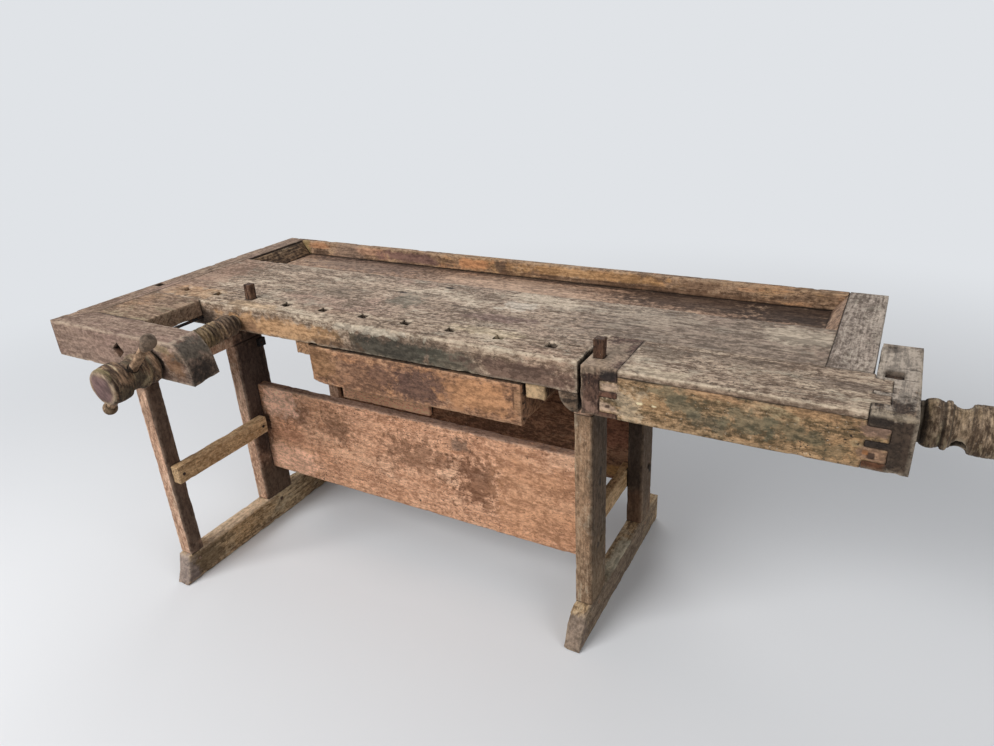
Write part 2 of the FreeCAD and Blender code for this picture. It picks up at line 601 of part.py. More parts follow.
def tail_vise():
    y_in = Y_NOTCH - SIDE_GAP
    x_axis = V(1, 0, 0)
    dog_y = Y_STRIP - DOG_HOLE_Y - JAW_DOG_FORWARD
    jaw = box(X_JAW, X_JAW_IN, Y_CHEEK, y_in, Z_TAIL, Z_TOP)
    for finger in fingers(JAW_FINGERS, X_JAW_IN - FINGER_L, FIT):
        jaw = jaw.cut(finger)
    jaw = jaw.cut(square_hole(X_JAW + JAW_DOG_IN, dog_y, Z_TAIL - 1, Z_TOP + 1))
    strip_z = Z_TOP - STRIP_DROP
    strip = box(X_NOTCH, X_CAP, Y_NOTCH - STRIP_T, Y_NOTCH, strip_z - STRIP_T, strip_z)
    groove = box(X_JAW - 1, X_JAW_IN + 1, Y_NOTCH - STRIP_T - SLIDE_GAP, Y_NOTCH,
                 strip_z - STRIP_T - SLIDE_GAP, strip_z + SLIDE_GAP)
    add("tail_jaw", jaw.cut(groove))
    add("tail_guide_strip", strip)

    cheek = box(X_JAW_IN, X_BLOCK, Y_CHEEK, Y_CHEEK + CHEEK_T, Z_TAIL, Z_COVER)
    for finger in fingers(JAW_FINGERS, X_JAW_IN - FINGER_L, 0) + fingers(BLOCK_FINGERS, X_BLOCK, 0):
        cheek = cheek.fuse(finger)
    add("tail_cheek", cheek.removeSplitter())

    cover = box(X_JAW_IN, X_BLOCK, Y_CHEEK, y_in, Z_COVER, Z_TOP)
    for tongue in cover_tongues(0):
        cover = cover.fuse(tongue)
    add("tail_cover", cover.removeSplitter())

    block = box(X_BLOCK, X_BLOCK_OUT, Y_CHEEK, Y_NOTCH + END_BLOCK_DEPTH, Z_TAIL, Z_TOP)
    for cutter in fingers(BLOCK_FINGERS, X_BLOCK, FIT) + cover_tongues(FIT):
        block = block.cut(cutter)
    block = block.cut(rod(TAIL_AXIS - V(1, 0, 0), x_axis, NECK_R + RUN_FIT, END_BLOCK_W + 2))
    key_y = TAIL_AXIS.y + GROOVE_R + KEY_GAP
    key_x = X_BLOCK + GROOVE_AT + 1
    key_z = Z_TAIL + KEY_FLOOR
    key_slot = box(key_x - FIT, key_x + KEY_W + FIT, key_y - FIT, key_y + KEY_T + FIT, key_z, Z_TOP + 1)
    add("tail_end_block", block.cut(key_slot).cut(guide_bar(FIT)))
    add("tail_garter_key", box(key_x, key_x + KEY_W, key_y, key_y + KEY_T, key_z, Z_TOP - KEY_SUNK))
    add("tail_guide_bar", guide_bar(0))

    bar_y = Y_NOTCH + GUIDE_Y
    bar_z = Z_SLAB - GUIDE_DROP - GUIDE_H
    keepers = []
    for at in KEEPERS:
        x = X_CAP - at
        body = box(x, x + KEEPER_W, bar_y - KEEPER_WALL, bar_y + GUIDE_W + KEEPER_WALL, bar_z - 20, Z_SLAB)
        slot = box(x - 1, x + KEEPER_W + 1, bar_y - SLIDE_GAP, bar_y + GUIDE_W + SLIDE_GAP,
                   bar_z - SLIDE_GAP, Z_SLAB)
        keepers.append(body.cut(slot))
    add("tail_guide_keepers", *keepers)

    nut = box(X_CAP, X_CAP_OUT, Y_CHEEK + CHEEK_T + NUT_GAP, Y_NOTCH, Z_TAIL + NUT_UNDER, Z_COVER - NUT_UNDER)
    nut = nut.fuse(nut_tenon(0)).removeSplitter()
    nut = nut.cut(rod(V(X_CAP - 1, TAIL_AXIS.y, TAIL_AXIS.z), x_axis, THREAD_R + RUN_FIT, CAP_W + 2))
    add("tail_screw_nut", nut)

    thread = turned([(0.0, 0.0)] + threaded(TAIL_SCREW_IN) + [(TAIL_SCREW_IN, THREAD_R - THREAD_DEPTH)],
                    TAIL_AXIS - V(TAIL_SCREW_IN, 0, 0), x_axis)
    g0 = GROOVE_AT
    g1 = GROOVE_AT + KEY_W + 2
    neck_end = END_BLOCK_W + TAIL_HEAD_GAP
    neck_points = [(0.0, NECK_R), (g0, NECK_R), (g0, GROOVE_R),
                   (g1, GROOVE_R), (g1, NECK_R), (neck_end, NECK_R)]
    neck = turned(neck_points, TAIL_AXIS, x_axis)
    head_at = TAIL_AXIS + V(neck_end, 0, 0)
    head = turned(TAIL_HEAD, head_at, x_axis)
    turn = math.radians(TAIL_HOLE_TURN)
    hole_dir = V(0, -math.cos(turn), -math.sin(turn))
    hole_end = head_at + V(TAIL_HOLE_ALONG, 0, 0) - hole_dir * HOLE_REACH
    hole = rod(hole_end, hole_dir, HANDLE_R + RUN_FIT, HOLE_REACH * 2)
    add("tail_screw", thread.fuse(neck).fuse(head).cut(hole).removeSplitter())


# ---------------------------------------------------------------- dogs
def dog(name, x, y):
    """A dog in the hole at x whose front wall is at y, and its spring strip."""
    z1 = Z_TOP + DOG_UP
    z0 = z1 - DOG_LEN
    front = y + (DOG_HOLE_Y - DOG_Y - SPRING_T - SPRING_BOW) / 2
    back = front + DOG_Y
    body = box(x - DOG_X / 2, x + DOG_X / 2, front, back, z0, z1)
    top_edges = [e for e in body.Edges if abs(e.CenterOfMass.z - z1) < 1e-6]
    add(name, body.makeChamfer(1.5, top_edges))
    s0 = z0 + 4
    s1 = s0 + SPRING_LEN
    w = DOG_X - 8
    strip = prism([V(x - w / 2, back, s0), V(x - w / 2, back + SPRING_T, s0),
                   V(x - w / 2, back + SPRING_T + SPRING_BOW, (s0 + s1) / 2),
                   V(x - w / 2, back + SPRING_T * 0.5, s1), V(x - w / 2, back, s1)], V(w, 0, 0))
    add(name + "_spring", strip)


def dogs():
    dog("slab_dog", X_SLAB + DOG_FIRST + DOG_RAISED * DOG_PITCH, Y_STRIP - DOG_HOLE_Y)
    dog("jaw_dog", X_JAW + JAW_DOG_IN, Y_STRIP - DOG_HOLE_Y - JAW_DOG_FORWARD)


# ---------------------------------------------------------------- trestles
LEFT_LEGS = {
    "left_front_leg": (Y_ARM + FRONT_LEG_SETBACK, FRONT_LEG_W),
    "left_middle_leg": (Y_SLAB + MID_LEG_SETBACK, LEFT_MID_W),
    "left_rear_leg": (Y_BACK - LEFT_REAR_Y, LEFT_REAR_W),
}
RIGHT_LEGS = {
    "right_front_leg": (Y_SLAB + MID_LEG_SETBACK, RIGHT_MID_W),
    "right_rear_leg": (Y_BACK - RIGHT_REAR_Y, RIGHT_REAR_W),
}


def tenons(x, y, width, gap):
    """Foot and bearer tenons of one leg."""
    x0 = x + (LEG_T - TENON_T) / 2 - gap
    x1 = x0 + TENON_T + 2 * gap
    y0 = y + TENON_EDGE - gap
    y1 = y + width - TENON_EDGE + gap
    low = box(x0, x1, y0, y1, FOOT_H - TENON_L - gap, FOOT_H)
    high = box(x0, x1, y0, y1, Z_BEARER, Z_BEARER + UPPER_TENON_L + gap)
    return [low, high]


def leg_pegs(x, y, width, gap):
    """Round pegs across both tenons of one leg."""
    y_mid = y + width / 2
    return [rod(V(x - 1 + (0 if gap else 1), y_mid, z), V(1, 0, 0), PEG_R + gap, LEG_T + (2 if gap else 0))
            for z in (FOOT_H - TENON_L / 2, Z_BEARER + UPPER_TENON_L / 2)]


def trestle(side, x, legs, stretcher_faces):
    """Foot, legs and bearer of one trestle. stretcher_faces: leg name to stub cutters."""
    pegs = []
    mortises = []
    peg_holes = []
    for name, (y, width) in legs.items():
        leg = box(x, x + LEG_T, y, y + width, FOOT_H, Z_BEARER)
        for tenon in tenons(x, y, width, 0):
            leg = leg.fuse(tenon)
        holes = leg_pegs(x, y, width, TIGHT)
        leg = cut_all(leg.removeSplitter(), holes + stretcher_faces.get(name, []))
        add(name, leg)
        mortises += tenons(x, y, width, FIT)
        peg_holes += holes
        pegs += leg_pegs(x, y, width, 0)

    first = min(y for y, _ in legs.values())
    last = max(y + width for y, width in legs.values())
    heel = Y_BACK - HEEL
    toe, outline = (LEFT_TOE, LEFT_NOSE) if side == "left" else (RIGHT_TOE, RIGHT_NOSE)
    nose = [V(x, first - toe + along, FOOT_H * up / NOSE_H) for along, up in outline]
    tail = [V(x, heel, FOOT_H), V(x, heel, 0)] if heel > last else [V(x, last, FOOT_H), V(x, last, 0)]
    foot = prism(nose + tail, V(LEG_T, 0, 0))
    add(side + "_foot", cut_all(foot, mortises + peg_holes))

    y0 = first if side == "left" else Y_SLAB + BRACKET_T + 2
    bearer = box(x, x + LEG_T, y0, Y_BACK - BEARER_BACK, Z_BEARER, Z_SLAB)
    if side == "left":
        bearer = bearer.cut(box(x - 1, x + LEG_T + 1, y0 - 1, Y_ARM_IN + 1, Z_ARM, Z_SLAB + 1))
    else:
        relief = box(X_NOTCH - 2, x + LEG_T + 1, y0 - 1, Y_NOTCH + 6, Z_TAIL - 9, Z_SLAB + 1)
        bearer = bearer.cut(relief)
    add(side + "_bearer", cut_all(bearer, mortises + peg_holes))
    return pegs


def stretcher_y():
    front = Y_SLAB + MID_LEG_SETBACK + FRONT_STRETCHER_SET
    rear = Y_BACK - (LEFT_REAR_Y + RIGHT_REAR_Y) / 2 + REAR_STRETCHER_SET
    return front, rear


def stubs(y, gap):
    """Stub tenons of one stretcher at both ends."""
    z0 = STRETCHER_Z + STUB_EDGE - gap
    z1 = STRETCHER_Z + STRETCHER_H - STUB_EDGE + gap
    y0 = y + STUB_IN - gap
    y1 = y + STRETCHER_T - STUB_IN + gap
    left = box(X_LEFT + LEG_T - STUB_L - gap, X_LEFT + LEG_T, y0, y1, z0, z1)
    right = box(X_RIGHT, X_RIGHT + STUB_L + gap, y0, y1, z0, z1)
    return left, right


def bed_bolt(y, side, gap):
    """Bolt through a leg into the end of a stretcher: (head and shank, start, direction)."""
    z = STRETCHER_Z + BED_BOLT_UP
    out = V(X_LEFT, y, z) if side == "left" else V(X_RIGHT + LEG_T, y, z)
    inward = V(1, 0, 0) if side == "left" else V(-1, 0, 0)
    seat = out + inward * BED_SINK
    if gap:
        shank = rod(seat, inward, BED_BOLT_R + gap, BED_BOLT_LEN + 2)
        sink = rod(out - inward, inward, BED_HEAD_R + 1.0, BED_SINK + 1)
        return shank.fuse(sink)
    shank = rod(seat, inward, BED_BOLT_R, BED_BOLT_LEN)
    head = rod(seat - inward * BED_HEAD_T, inward, BED_HEAD_R, BED_HEAD_T)
    return shank.fuse(head).removeSplitter()


def bed_nut(y, side, pocket_sign, gap):
    """Square nut of a bed bolt; its pocket opens at one face of the stretcher."""
    z = STRETCHER_Z + BED_BOLT_UP
    at = BED_SINK + BED_BOLT_LEN - BED_NUT_BACK
    x = X_LEFT + at if side == "left" else X_RIGHT + LEG_T - at - BED_NUT_T
    h = BED_NUT / 2
    if gap:
        reach = STRETCHER_T
        y0 = y - h - gap if pocket_sign > 0 else y - reach
        y1 = y + reach if pocket_sign > 0 else y + h + gap
        return box(x - gap, x + BED_NUT_T + gap, y0, y1, z - h - gap, z + h + gap)
    nut = box(x, x + BED_NUT_T, y - h, y + h, z - h, z + h)
    return nut.cut(rod(V(x - 1, y, z), V(1, 0, 0), BED_BOLT_R + TIGHT, BED_NUT_T + 2))


def understructure():
    y_front, y_rear = stretcher_y()
    cutters = {name: [] for name in list(LEFT_LEGS) + list(RIGHT_LEGS)}
    bolts = []
    nuts = []
    for label, y, left_leg, right_leg, sign in (
            ("front_stretcher", y_front, "left_middle_leg", "right_front_leg", 1),
            ("rear_stretcher", y_rear, "left_rear_leg", "right_rear_leg", -1)):
        board = box(X_LEFT + LEG_T, X_RIGHT, y, y + STRETCHER_T, STRETCHER_Z, STRETCHER_Z + STRETCHER_H)
        for stub in stubs(y, 0):
            board = board.fuse(stub)
        board = board.removeSplitter()
        left_cut, right_cut = stubs(y, FIT)
        mid = y + STRETCHER_T / 2
        cutters[left_leg] += [left_cut, bed_bolt(mid, "left", FIT)]
        cutters[right_leg] += [right_cut, bed_bolt(mid, "right", FIT)]
        for end in ("left", "right"):
            board = board.cut(bed_bolt(mid, end, FIT)).cut(bed_nut(mid, end, sign, FIT))
            bolts.append(bed_bolt(mid, end, 0))
            nuts.append(bed_nut(mid, end, sign, 0))
        if label == "rear_stretcher":
            board = cut_all(board, batten_nails(y, TIGHT))
        add(label, board)
    add("stretcher_bolts", *bolts)
    add("stretcher_nuts", *nuts)

    for name in ("left_front_leg", "left_middle_leg"):
        cutters[name] += rail_nails(TIGHT)[0]
    for name in ("right_front_leg", "right_rear_leg"):
        cutters[name] += rail_nails(TIGHT)[1]
    cutters["left_middle_leg"].append(leg_bolt(FIT))

    pegs = trestle("left", X_LEFT, LEFT_LEGS, cutters) + trestle("right", X_RIGHT, RIGHT_LEGS, cutters)
    add("tenon_pegs", *pegs)

    left_holes, right_holes = rail_nails(TIGHT)
    y0 = LEFT_LEGS["left_front_leg"][0] + RAIL_OVER
    y1 = LEFT_LEGS["left_middle_leg"][0] + RAIL_LAP
    rail = box(X_LEFT + LEG_T, X_LEFT + LEG_T + MID_RAIL_T, y0, y1, LEFT_RAIL_Z, LEFT_RAIL_Z + LEFT_RAIL_H)
    add("left_mid_rail", cut_all(rail, left_holes))
    y0, y1 = right_rail_ends()
    rail = box(X_RIGHT - MID_RAIL_T, X_RIGHT, y0, y1, RIGHT_RAIL_Z, RIGHT_RAIL_Z + RIGHT_RAIL_H)
    add("right_mid_rail", cut_all(rail, right_holes))
    left_nails, right_nails = rail_nails(0)
    add("rail_nails", *(left_nails + right_nails))

    batten_y = y_rear - BATTEN_T
    x0 = X_LEFT + LEG_T + 10
    z0 = STRETCHER_Z + BATTEN_UP
    batten = box(x0, x0 + BATTEN_LEN, batten_y, y_rear, z0, z0 + BATTEN_H)
    add("rear_stretcher_batten", cut_all(batten, batten_nails(y_rear, TIGHT)))
    add("batten_nails", *batten_nails(y_rear, 0))

    add("leg_bolt", leg_bolt(0))
    y = LEFT_LEGS["left_middle_leg"][0] + LEFT_MID_W - LEG_BOLT_IN
    x = X_LEFT + LEG_T
    h = LEG_NUT / 2
    nut = box(x, x + LEG_NUT_T, y - h, y + h, LEG_BOLT_Z - h, LEG_BOLT_Z + h)
    add("leg_bolt_nut", nut.cut(rod(V(x - 1, y, LEG_BOLT_Z), V(1, 0, 0), LEG_BOLT_R + TIGHT, LEG_NUT_T + 2)))


def right_rail_ends():
    front, rear = stretcher_y()
    return front + STRETCHER_T + RAIL_CLEAR, rear - RAIL_CLEAR


def rail_nails(gap):
    """Nails of the left rail from its +X face, and of the right rail from its -X face."""
    groups = []
    y_left = [LEFT_LEGS["left_front_leg"][0] + NAIL_IN, LEFT_LEGS["left_middle_leg"][0] + RAIL_LAP / 2]
    y0, y1 = right_rail_ends()
    y_right = [(y0 + RIGHT_LEGS["right_front_leg"][0] + RIGHT_MID_W) / 2,
               (y1 + RIGHT_LEGS["right_rear_leg"][0]) / 2]
    for ys, face, inward, z in ((y_left, X_LEFT + LEG_T + MID_RAIL_T, -1, LEFT_RAIL_Z + LEFT_RAIL_H / 2),
                                (y_right, X_RIGHT - MID_RAIL_T, 1, RIGHT_RAIL_Z + RIGHT_RAIL_H / 2)):
        groups.append([nail(V(face, y, z), V(inward, 0, 0), gap) for y in ys])
    return groups


def nail(at, direction, gap):
    """A nail whose head stands on the face at a point; with a gap, only its hole."""
    shank = rod(at, direction, NAIL_R + gap, NAIL_LEN)
    if gap:
        return shank
    return shank.fuse(rod(at - direction * NAIL_HEAD_T, direction, NAIL_HEAD_R, NAIL_HEAD_T)).removeSplitter()


def batten_nails(y_rear, gap):
    z = STRETCHER_Z + BATTEN_UP + BATTEN_H / 2
    x0 = X_LEFT + LEG_T + 10
    result = []
    for x in (x0 + BATTEN_NAIL_IN, x0 + BATTEN_LEN - BATTEN_NAIL_IN):
        at = V(x, y_rear - BATTEN_T, z)
        shank = rod(at, V(0, 1, 0), NAIL_R + gap, BATTEN_T + STRETCHER_T * 0.6)
        if not gap:
            head = rod(at - V(0, NAIL_HEAD_T, 0), V(0, 1, 0), NAIL_HEAD_R, NAIL_HEAD_T)
            shank = shank.fuse(head).removeSplitter()
        result.append(shank)
    return result


def leg_bolt(gap):
    """Bolt across the top of the left middle leg."""
    y = LEFT_LEGS["left_middle_leg"][0] + LEFT_MID_W - LEG_BOLT_IN
    if gap:
        return rod(V(X_LEFT - 1, y, LEG_BOLT_Z), V(1, 0, 0), LEG_BOLT_R + gap, LEG_T + 2)
    shank = rod(V(X_LEFT, y, LEG_BOLT_Z), V(1, 0, 0), LEG_BOLT_R, LEG_T + LEG_NUT_T + 3)
    head = rod(V(X_LEFT - 5, y, LEG_BOLT_Z), V(1, 0, 0), BED_HEAD_R, 5)
    return shank.fuse(head).removeSplitter()


# ---------------------------------------------------------------- drawer
def drawer_corners():
    x1 = X_RIGHT - DRAWER_SET
    z1 = Z_SLAB - DRAWER_TOP_GAP
    return V(x1 - DRAWER_W, Y_SLAB, z1 - DRAWER_H), V(x1, Y_SLAB + DRAWER_L, z1)


def runner_spans():
    """Inner face and outward direction of the left and the right runner."""
    low, high = drawer_corners()
    return {"drawer_runner_left": (low.x - RUNNER_GAP, -1), "drawer_runner_right": (high.x + RUNNER_GAP, 1)}


def runner_screw_places():
    low, high = drawer_corners()
    y0 = Y_SLAB + RUNNER_SET
    y1 = high.y + RUNNER_BACK
    return [V(inner + way * RUNNER_W / 2, y0 + (y1 - y0) * share, Z_SLAB - RUNNER_H)
            for inner, way in runner_spans().values() for share in RUNNER_SCREWS]


def runner_screw_holes():
    return [rod(at - V(0, 0, 1), V(0, 0, 1), SCREW_R + TIGHT, SCREW_LEN + 2) for at in runner_screw_places()]


def span_box(xa, xb, y0, y1, z0, z1):
    """A box whose two X faces come in either order."""
    return box(min(xa, xb), max(xa, xb), y0, y1, z0, z1)


def drawer():
    low, high = drawer_corners()
    y_in = low.y + DRAWER_FRONT_T
    tongue_z = Z_SLAB - TONGUE_DOWN - TONGUE_H
    z_bottom = low.z + DRAWER_BOTTOM_UP

    step = [V(low.x + dx, low.y, low.z + dz) for dx, dz in TOE_STEP]
    face = step + [V(high.x, low.y, low.z), V(high.x, low.y, high.z), V(low.x, low.y, high.z)]
    front = prism(face, V(0, DRAWER_FRONT_T, 0))

    def floor_board(gap, past):
        reach = DRAWER_SIDE_T - DRAWER_GROOVE - gap
        return box(low.x + reach, high.x - reach, y_in - DRAWER_GROOVE - gap, high.y + past,
                   z_bottom - gap, z_bottom + DRAWER_BOTTOM_T + gap)

    for name, outer, way in (("drawer_side_left", low.x, 1), ("drawer_side_right", high.x, -1)):
        inner = outer + way * DRAWER_SIDE_T
        side = span_box(outer, inner, y_in, high.y, low.z + DRAWER_SIDE_UP, high.z)
        for z0, z1 in LAP_TAILS:
            side = side.fuse(span_box(outer, inner, y_in - LAP_TAIL, y_in, low.z + z0, low.z + z1))
            front = front.cut(span_box(outer - way, inner + way * FIT, y_in - LAP_TAIL - FIT, y_in + 1,
                                       low.z + z0 - FIT, low.z + z1 + FIT))
        groove = span_box(outer - way, outer + way * SIDE_GROOVE, y_in, high.y + 1,
                          tongue_z - SLIDE_GAP, tongue_z + TONGUE_H + SLIDE_GAP)
        add(name, side.removeSplitter().cut(floor_board(FIT, 1)).cut(groove))
    add("drawer_front", front.cut(floor_board(FIT, 1)))
    add("drawer_bottom", floor_board(0, 0))
    add("drawer_back", box(low.x + DRAWER_SIDE_T, high.x - DRAWER_SIDE_T, high.y - DRAWER_BACK_T, high.y,
                           z_bottom + DRAWER_BOTTOM_T, high.z - DRAWER_BACK_DOWN))

    y0 = low.y + RUNNER_SET
    y1 = high.y + RUNNER_BACK
    for name, (inner, way) in runner_spans().items():
        body = span_box(inner, inner + way * RUNNER_W, y0, y1, Z_SLAB - RUNNER_H, Z_SLAB)
        tip = inner - way * (RUNNER_GAP + SIDE_GROOVE - 2 * SLIDE_GAP)
        tongue = span_box(inner, tip, y0 + TONGUE_SET, y1, tongue_z, tongue_z + TONGUE_H)
        add(name, cut_all(body.fuse(tongue).removeSplitter(), runner_screw_holes()))
    screws = []
    for at in runner_screw_places():
        shank = rod(at, V(0, 0, 1), SCREW_R, SCREW_LEN)
        head = rod(at - V(0, 0, SCREW_HEAD_T), V(0, 0, 1), SCREW_HEAD_R, SCREW_HEAD_T)
        screws.append(shank.fuse(head).removeSplitter())
    add("runner_screws", *screws)


bench_top()
front_vise()
tail_vise()
dogs()
understructure()
drawer()

if __name__ == "__main__":
    os.makedirs("parts", exist_ok=True)
    for name, shape in nodes.items():
        if not shape.isValid():
            print("invalid:", name)
        shape.exportStep("parts/" + name + ".step")
        print(name, len(shape.Solids), round(shape.Volume / 1000), "cm3")
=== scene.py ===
"""Looks of an old joiner's bench: worn timber meshes, wooden screws with a real helix, and aged wood finishes.

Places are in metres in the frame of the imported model. Where a place on the bench is easier to say
from its left end, its back and the floor, in millimetres, the function at() turns it into that frame.
"""
import json
import math
import bmesh
import bpy
import numpy as np
from mathutils import Matrix, Vector
from mathutils.bvhtree import BVHTree
from mathutils.kdtree import KDTree


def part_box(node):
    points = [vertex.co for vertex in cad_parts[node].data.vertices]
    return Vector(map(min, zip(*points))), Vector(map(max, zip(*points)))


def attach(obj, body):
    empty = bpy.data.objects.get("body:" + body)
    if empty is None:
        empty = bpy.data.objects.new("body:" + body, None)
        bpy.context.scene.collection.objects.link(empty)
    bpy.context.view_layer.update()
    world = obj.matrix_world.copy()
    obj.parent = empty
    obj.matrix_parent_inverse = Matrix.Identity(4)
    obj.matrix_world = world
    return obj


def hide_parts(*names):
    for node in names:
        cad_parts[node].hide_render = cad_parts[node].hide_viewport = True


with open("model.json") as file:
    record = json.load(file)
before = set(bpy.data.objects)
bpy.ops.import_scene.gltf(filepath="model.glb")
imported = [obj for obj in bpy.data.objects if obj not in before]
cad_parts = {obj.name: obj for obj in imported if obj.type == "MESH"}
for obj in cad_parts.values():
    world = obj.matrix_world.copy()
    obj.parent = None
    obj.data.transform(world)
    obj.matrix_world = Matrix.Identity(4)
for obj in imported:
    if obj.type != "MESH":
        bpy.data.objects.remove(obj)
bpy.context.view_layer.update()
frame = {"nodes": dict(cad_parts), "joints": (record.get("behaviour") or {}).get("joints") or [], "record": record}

MM = 0.001
LEFT_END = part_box("end_board_left")[0].x
BACK_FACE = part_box("tray_back_rail")[1].y

boxes = {name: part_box(name) for name in frame["nodes"]}
joints = {joint["name"]: joint for joint in frame["joints"]}
node_body = {node: body for body, members in frame["record"]["behaviour"]["bodies"].items() for node in members}


def at(x, y, z):
    """Millimetres from the bench's left end, from its back (front is negative) and from the floor."""
    return Vector((LEFT_END + x * MM, BACK_FACE + y * MM, z * MM))


def paint(red, green, blue):
    """A colour as seen, 0 to 255, turned to the linear values that shaders use."""
    def linear(value):
        value /= 255
        return value / 12.92 if value <= 0.04045 else ((value + 0.055) / 1.055) ** 2.4
    return (linear(red), linear(green), linear(blue), 1.0)


# -------------- fields of smooth random values
CELL_STEPS = np.array([374761393, 668265263, 1442695041])
SEED_STEP, MIX_STEP = 974634777, 1274126177
LOW_32, LOW_16 = 0xFFFFFFFF, 0xFFFF


def eased(share):
    return share * share * (3 - 2 * share)


def rise(values, start, width):
    """0 up to start, and from there up to 1 over width."""
    return np.clip((values - start) / width, 0, 1)


def lattice(cells, seed):
    """A random value, 0 to 1, for each whole-numbered cell."""
    mixed = (cells @ CELL_STEPS + seed * SEED_STEP) & LOW_32
    mixed = ((mixed ^ (mixed >> 13)) * MIX_STEP) & LOW_32
    return ((mixed ^ (mixed >> 16)) & LOW_16) / float(LOW_16)


def field(points, size, seed):
    """Smooth random values, 0 to 1, that vary over the lengths in size (one number or one per axis)."""
    scaled = points / np.asarray(size, float)
    base = np.floor(scaled).astype(np.int64)
    part = eased(scaled - base)
    total = np.zeros(len(points))
    for corner in range(8):
        step = np.array([corner & 1, corner >> 1 & 1, corner >> 2 & 1])
        total += np.prod(np.where(step, part, 1 - part), axis=1) * lattice(base + step, seed)
    return total


def rough_field(points, size, seed, octaves=3):
    """A field with finer and weaker ones added to it, 0 to 1."""
    total = np.zeros(len(points))
    reach = 0.0
    for k in range(octaves):
        share = 0.5 ** k
        total += share * field(points, np.asarray(size, float) * share, seed + 17 * k)
        reach += share
    return total / reach


# -------------- meshes
def read(items, key, width):
    """One property of all the items, a row of numbers for each."""
    flat = np.empty(len(items) * width, np.float32)
    items.foreach_get(key, flat)
    return flat.reshape(-1, width).astype(float)


def coords(mesh):
    return read(mesh.vertices, "co", 3)


def normals(mesh):
    return read(mesh.vertex_normals, "vector", 3)


def set_coords(mesh, points):
    mesh.vertices.foreach_set("co", points.astype(np.float32).ravel())
    mesh.update()


def get_mask(mesh, name):
    return read(mesh.attributes[name].data, "value", 1)[:, 0]


def set_mask(mesh, name, values):
    layer = mesh.attributes.get(name) or mesh.attributes.new(name, "FLOAT", "POINT")
    layer.data.foreach_set("value", np.clip(values, 0, 1).astype(np.float32))


def new_object(name, data):
    obj = bpy.data.objects.new(name, data)
    bpy.context.scene.collection.objects.link(obj)
    return obj


def even_skin(name, source, voxel, smooth):
    """The same solid with an even skin of small faces that lies on the solid's own faces."""
    obj = new_object(name, source.data.copy())
    for kind, settings in (
            ("REMESH", {"mode": "VOXEL", "voxel_size": voxel}),
            ("SMOOTH", {"factor": 0.5, "iterations": smooth}),
            ("SHRINKWRAP", {"target": source, "wrap_method": "NEAREST_SURFACEPOINT"})):
        modifier = obj.modifiers.new(kind, kind)
        for key, value in settings.items():
            setattr(modifier, key, value)
    graph = bpy.context.evaluated_depsgraph_get()
    made = bpy.data.meshes.new_from_object(obj.evaluated_get(graph))
    copied = obj.data
    bpy.data.objects.remove(obj)
    bpy.data.meshes.remove(copied)
    made.name = name
    return made


# -------------- wear of the timbers
EDGE_STEP = 0.004        # between the points that stand for a corner
SHARP = math.radians(25)
SEAM_NEAR = 0.0016       # pieces nearer than this touch
SHORT_CORNER = 0.045     # the rim of a hole or slot is shorter
MITE = 0.012             # shorter corners belong to round rims
CLEAN_END = 0.008        # an inner corner's ends hold no dirt
HOLE_DEPTH = 0.1         # an upright inner corner shorter than this is inside a hole
SHELTER_REACH = 0.075
SKIN_GAP = 0.0012        # rays start this far off the skin
EDGE_REACH = 0.026       # dents reach this far from a free corner
EDGE_NEAR = 0.010        # rounding reaches this far
SEAM_REACH = 0.0045      # dirt reaches this far from a closed corner
SLOW, QUICK, DENT = 0.13, 0.018, 0.034           # lengths over which the wear and the dents vary
WAVE_ALONG, WAVE_ACROSS = 0.35, 0.022            # and the waves, along the grain and across it


def welded(mesh):
    """The mesh with its doubled points joined, and a search tree of it."""
    soup = bmesh.new()
    soup.from_mesh(mesh)
    bmesh.ops.remove_doubles(soup, verts=soup.verts, dist=1e-6)
    return soup, BVHTree.FromBMesh(soup)


def whole_tree():
    """One tree of all the solids, which tells how sheltered a place is."""
    soup = bmesh.new()
    for obj in frame["nodes"].values():
        soup.from_mesh(obj.data)
    tree = BVHTree.FromBMesh(soup)
    soup.free()
    return tree


solids = {name: welded(obj.data) for name, obj in frame["nodes"].items()}
WHOLE = whole_tree()


def near_other(name, point):
    """True where another piece of the bench touches this point."""
    for other, (_, tree) in solids.items():
        low, high = boxes[other]
        if other != name and all(low[k] - SEAM_NEAR < point[k] < high[k] + SEAM_NEAR for k in range(3)):
            if tree.find_nearest(point, SEAM_NEAR)[0] is not None:
                return True
    return False


def shelter(points, out):
    """1 in holes, slots and gaps, 0 on open faces. The finish darkens these places with painted shade and old dirt.
    """
    values = np.zeros(len(points))
    for index, (point, direction) in enumerate(zip(points + out * SKIN_GAP, out)):
        distance = WHOLE.ray_cast(point, direction, SHELTER_REACH)[3]
        if distance is not None:
            values[index] = 1 - 0.6 * (distance / SHELTER_REACH) ** 2
    return values


def corner_points(name):
    """Points along the piece's corners: those that stand free, and those that meet another piece or look inwards.

    Each point carries how much its corner wears: short ones, such as a hole's rim, wear less.
    The upright inner corners of holes are left out, as no dirt line shows there.
    """
    free, closed = [], []
    for edge in solids[name][0].edges:
        if len(edge.link_faces) != 2 or edge.calc_face_angle() < SHARP:
            continue
        start, end = (v.co for v in edge.verts)
        length = (end - start).length
        if not edge.is_convex and length < HOLE_DEPTH and abs(end.z - start.z) > 0.9 * length:
            continue
        share = 0.4 if MITE < length < SHORT_CORNER else 1.0
        count = max(1, int(length / EDGE_STEP))
        for k in range(count + 1):
            point = start.lerp(end, k / count)
            from_end = min(k, count - k) * length / count
            if edge.is_convex and not near_other(name, point):
                free.append((point, share))
            elif length < SHORT_CORNER or from_end > CLEAN_END:
                closed.append((point, 1.0))
    return free, closed


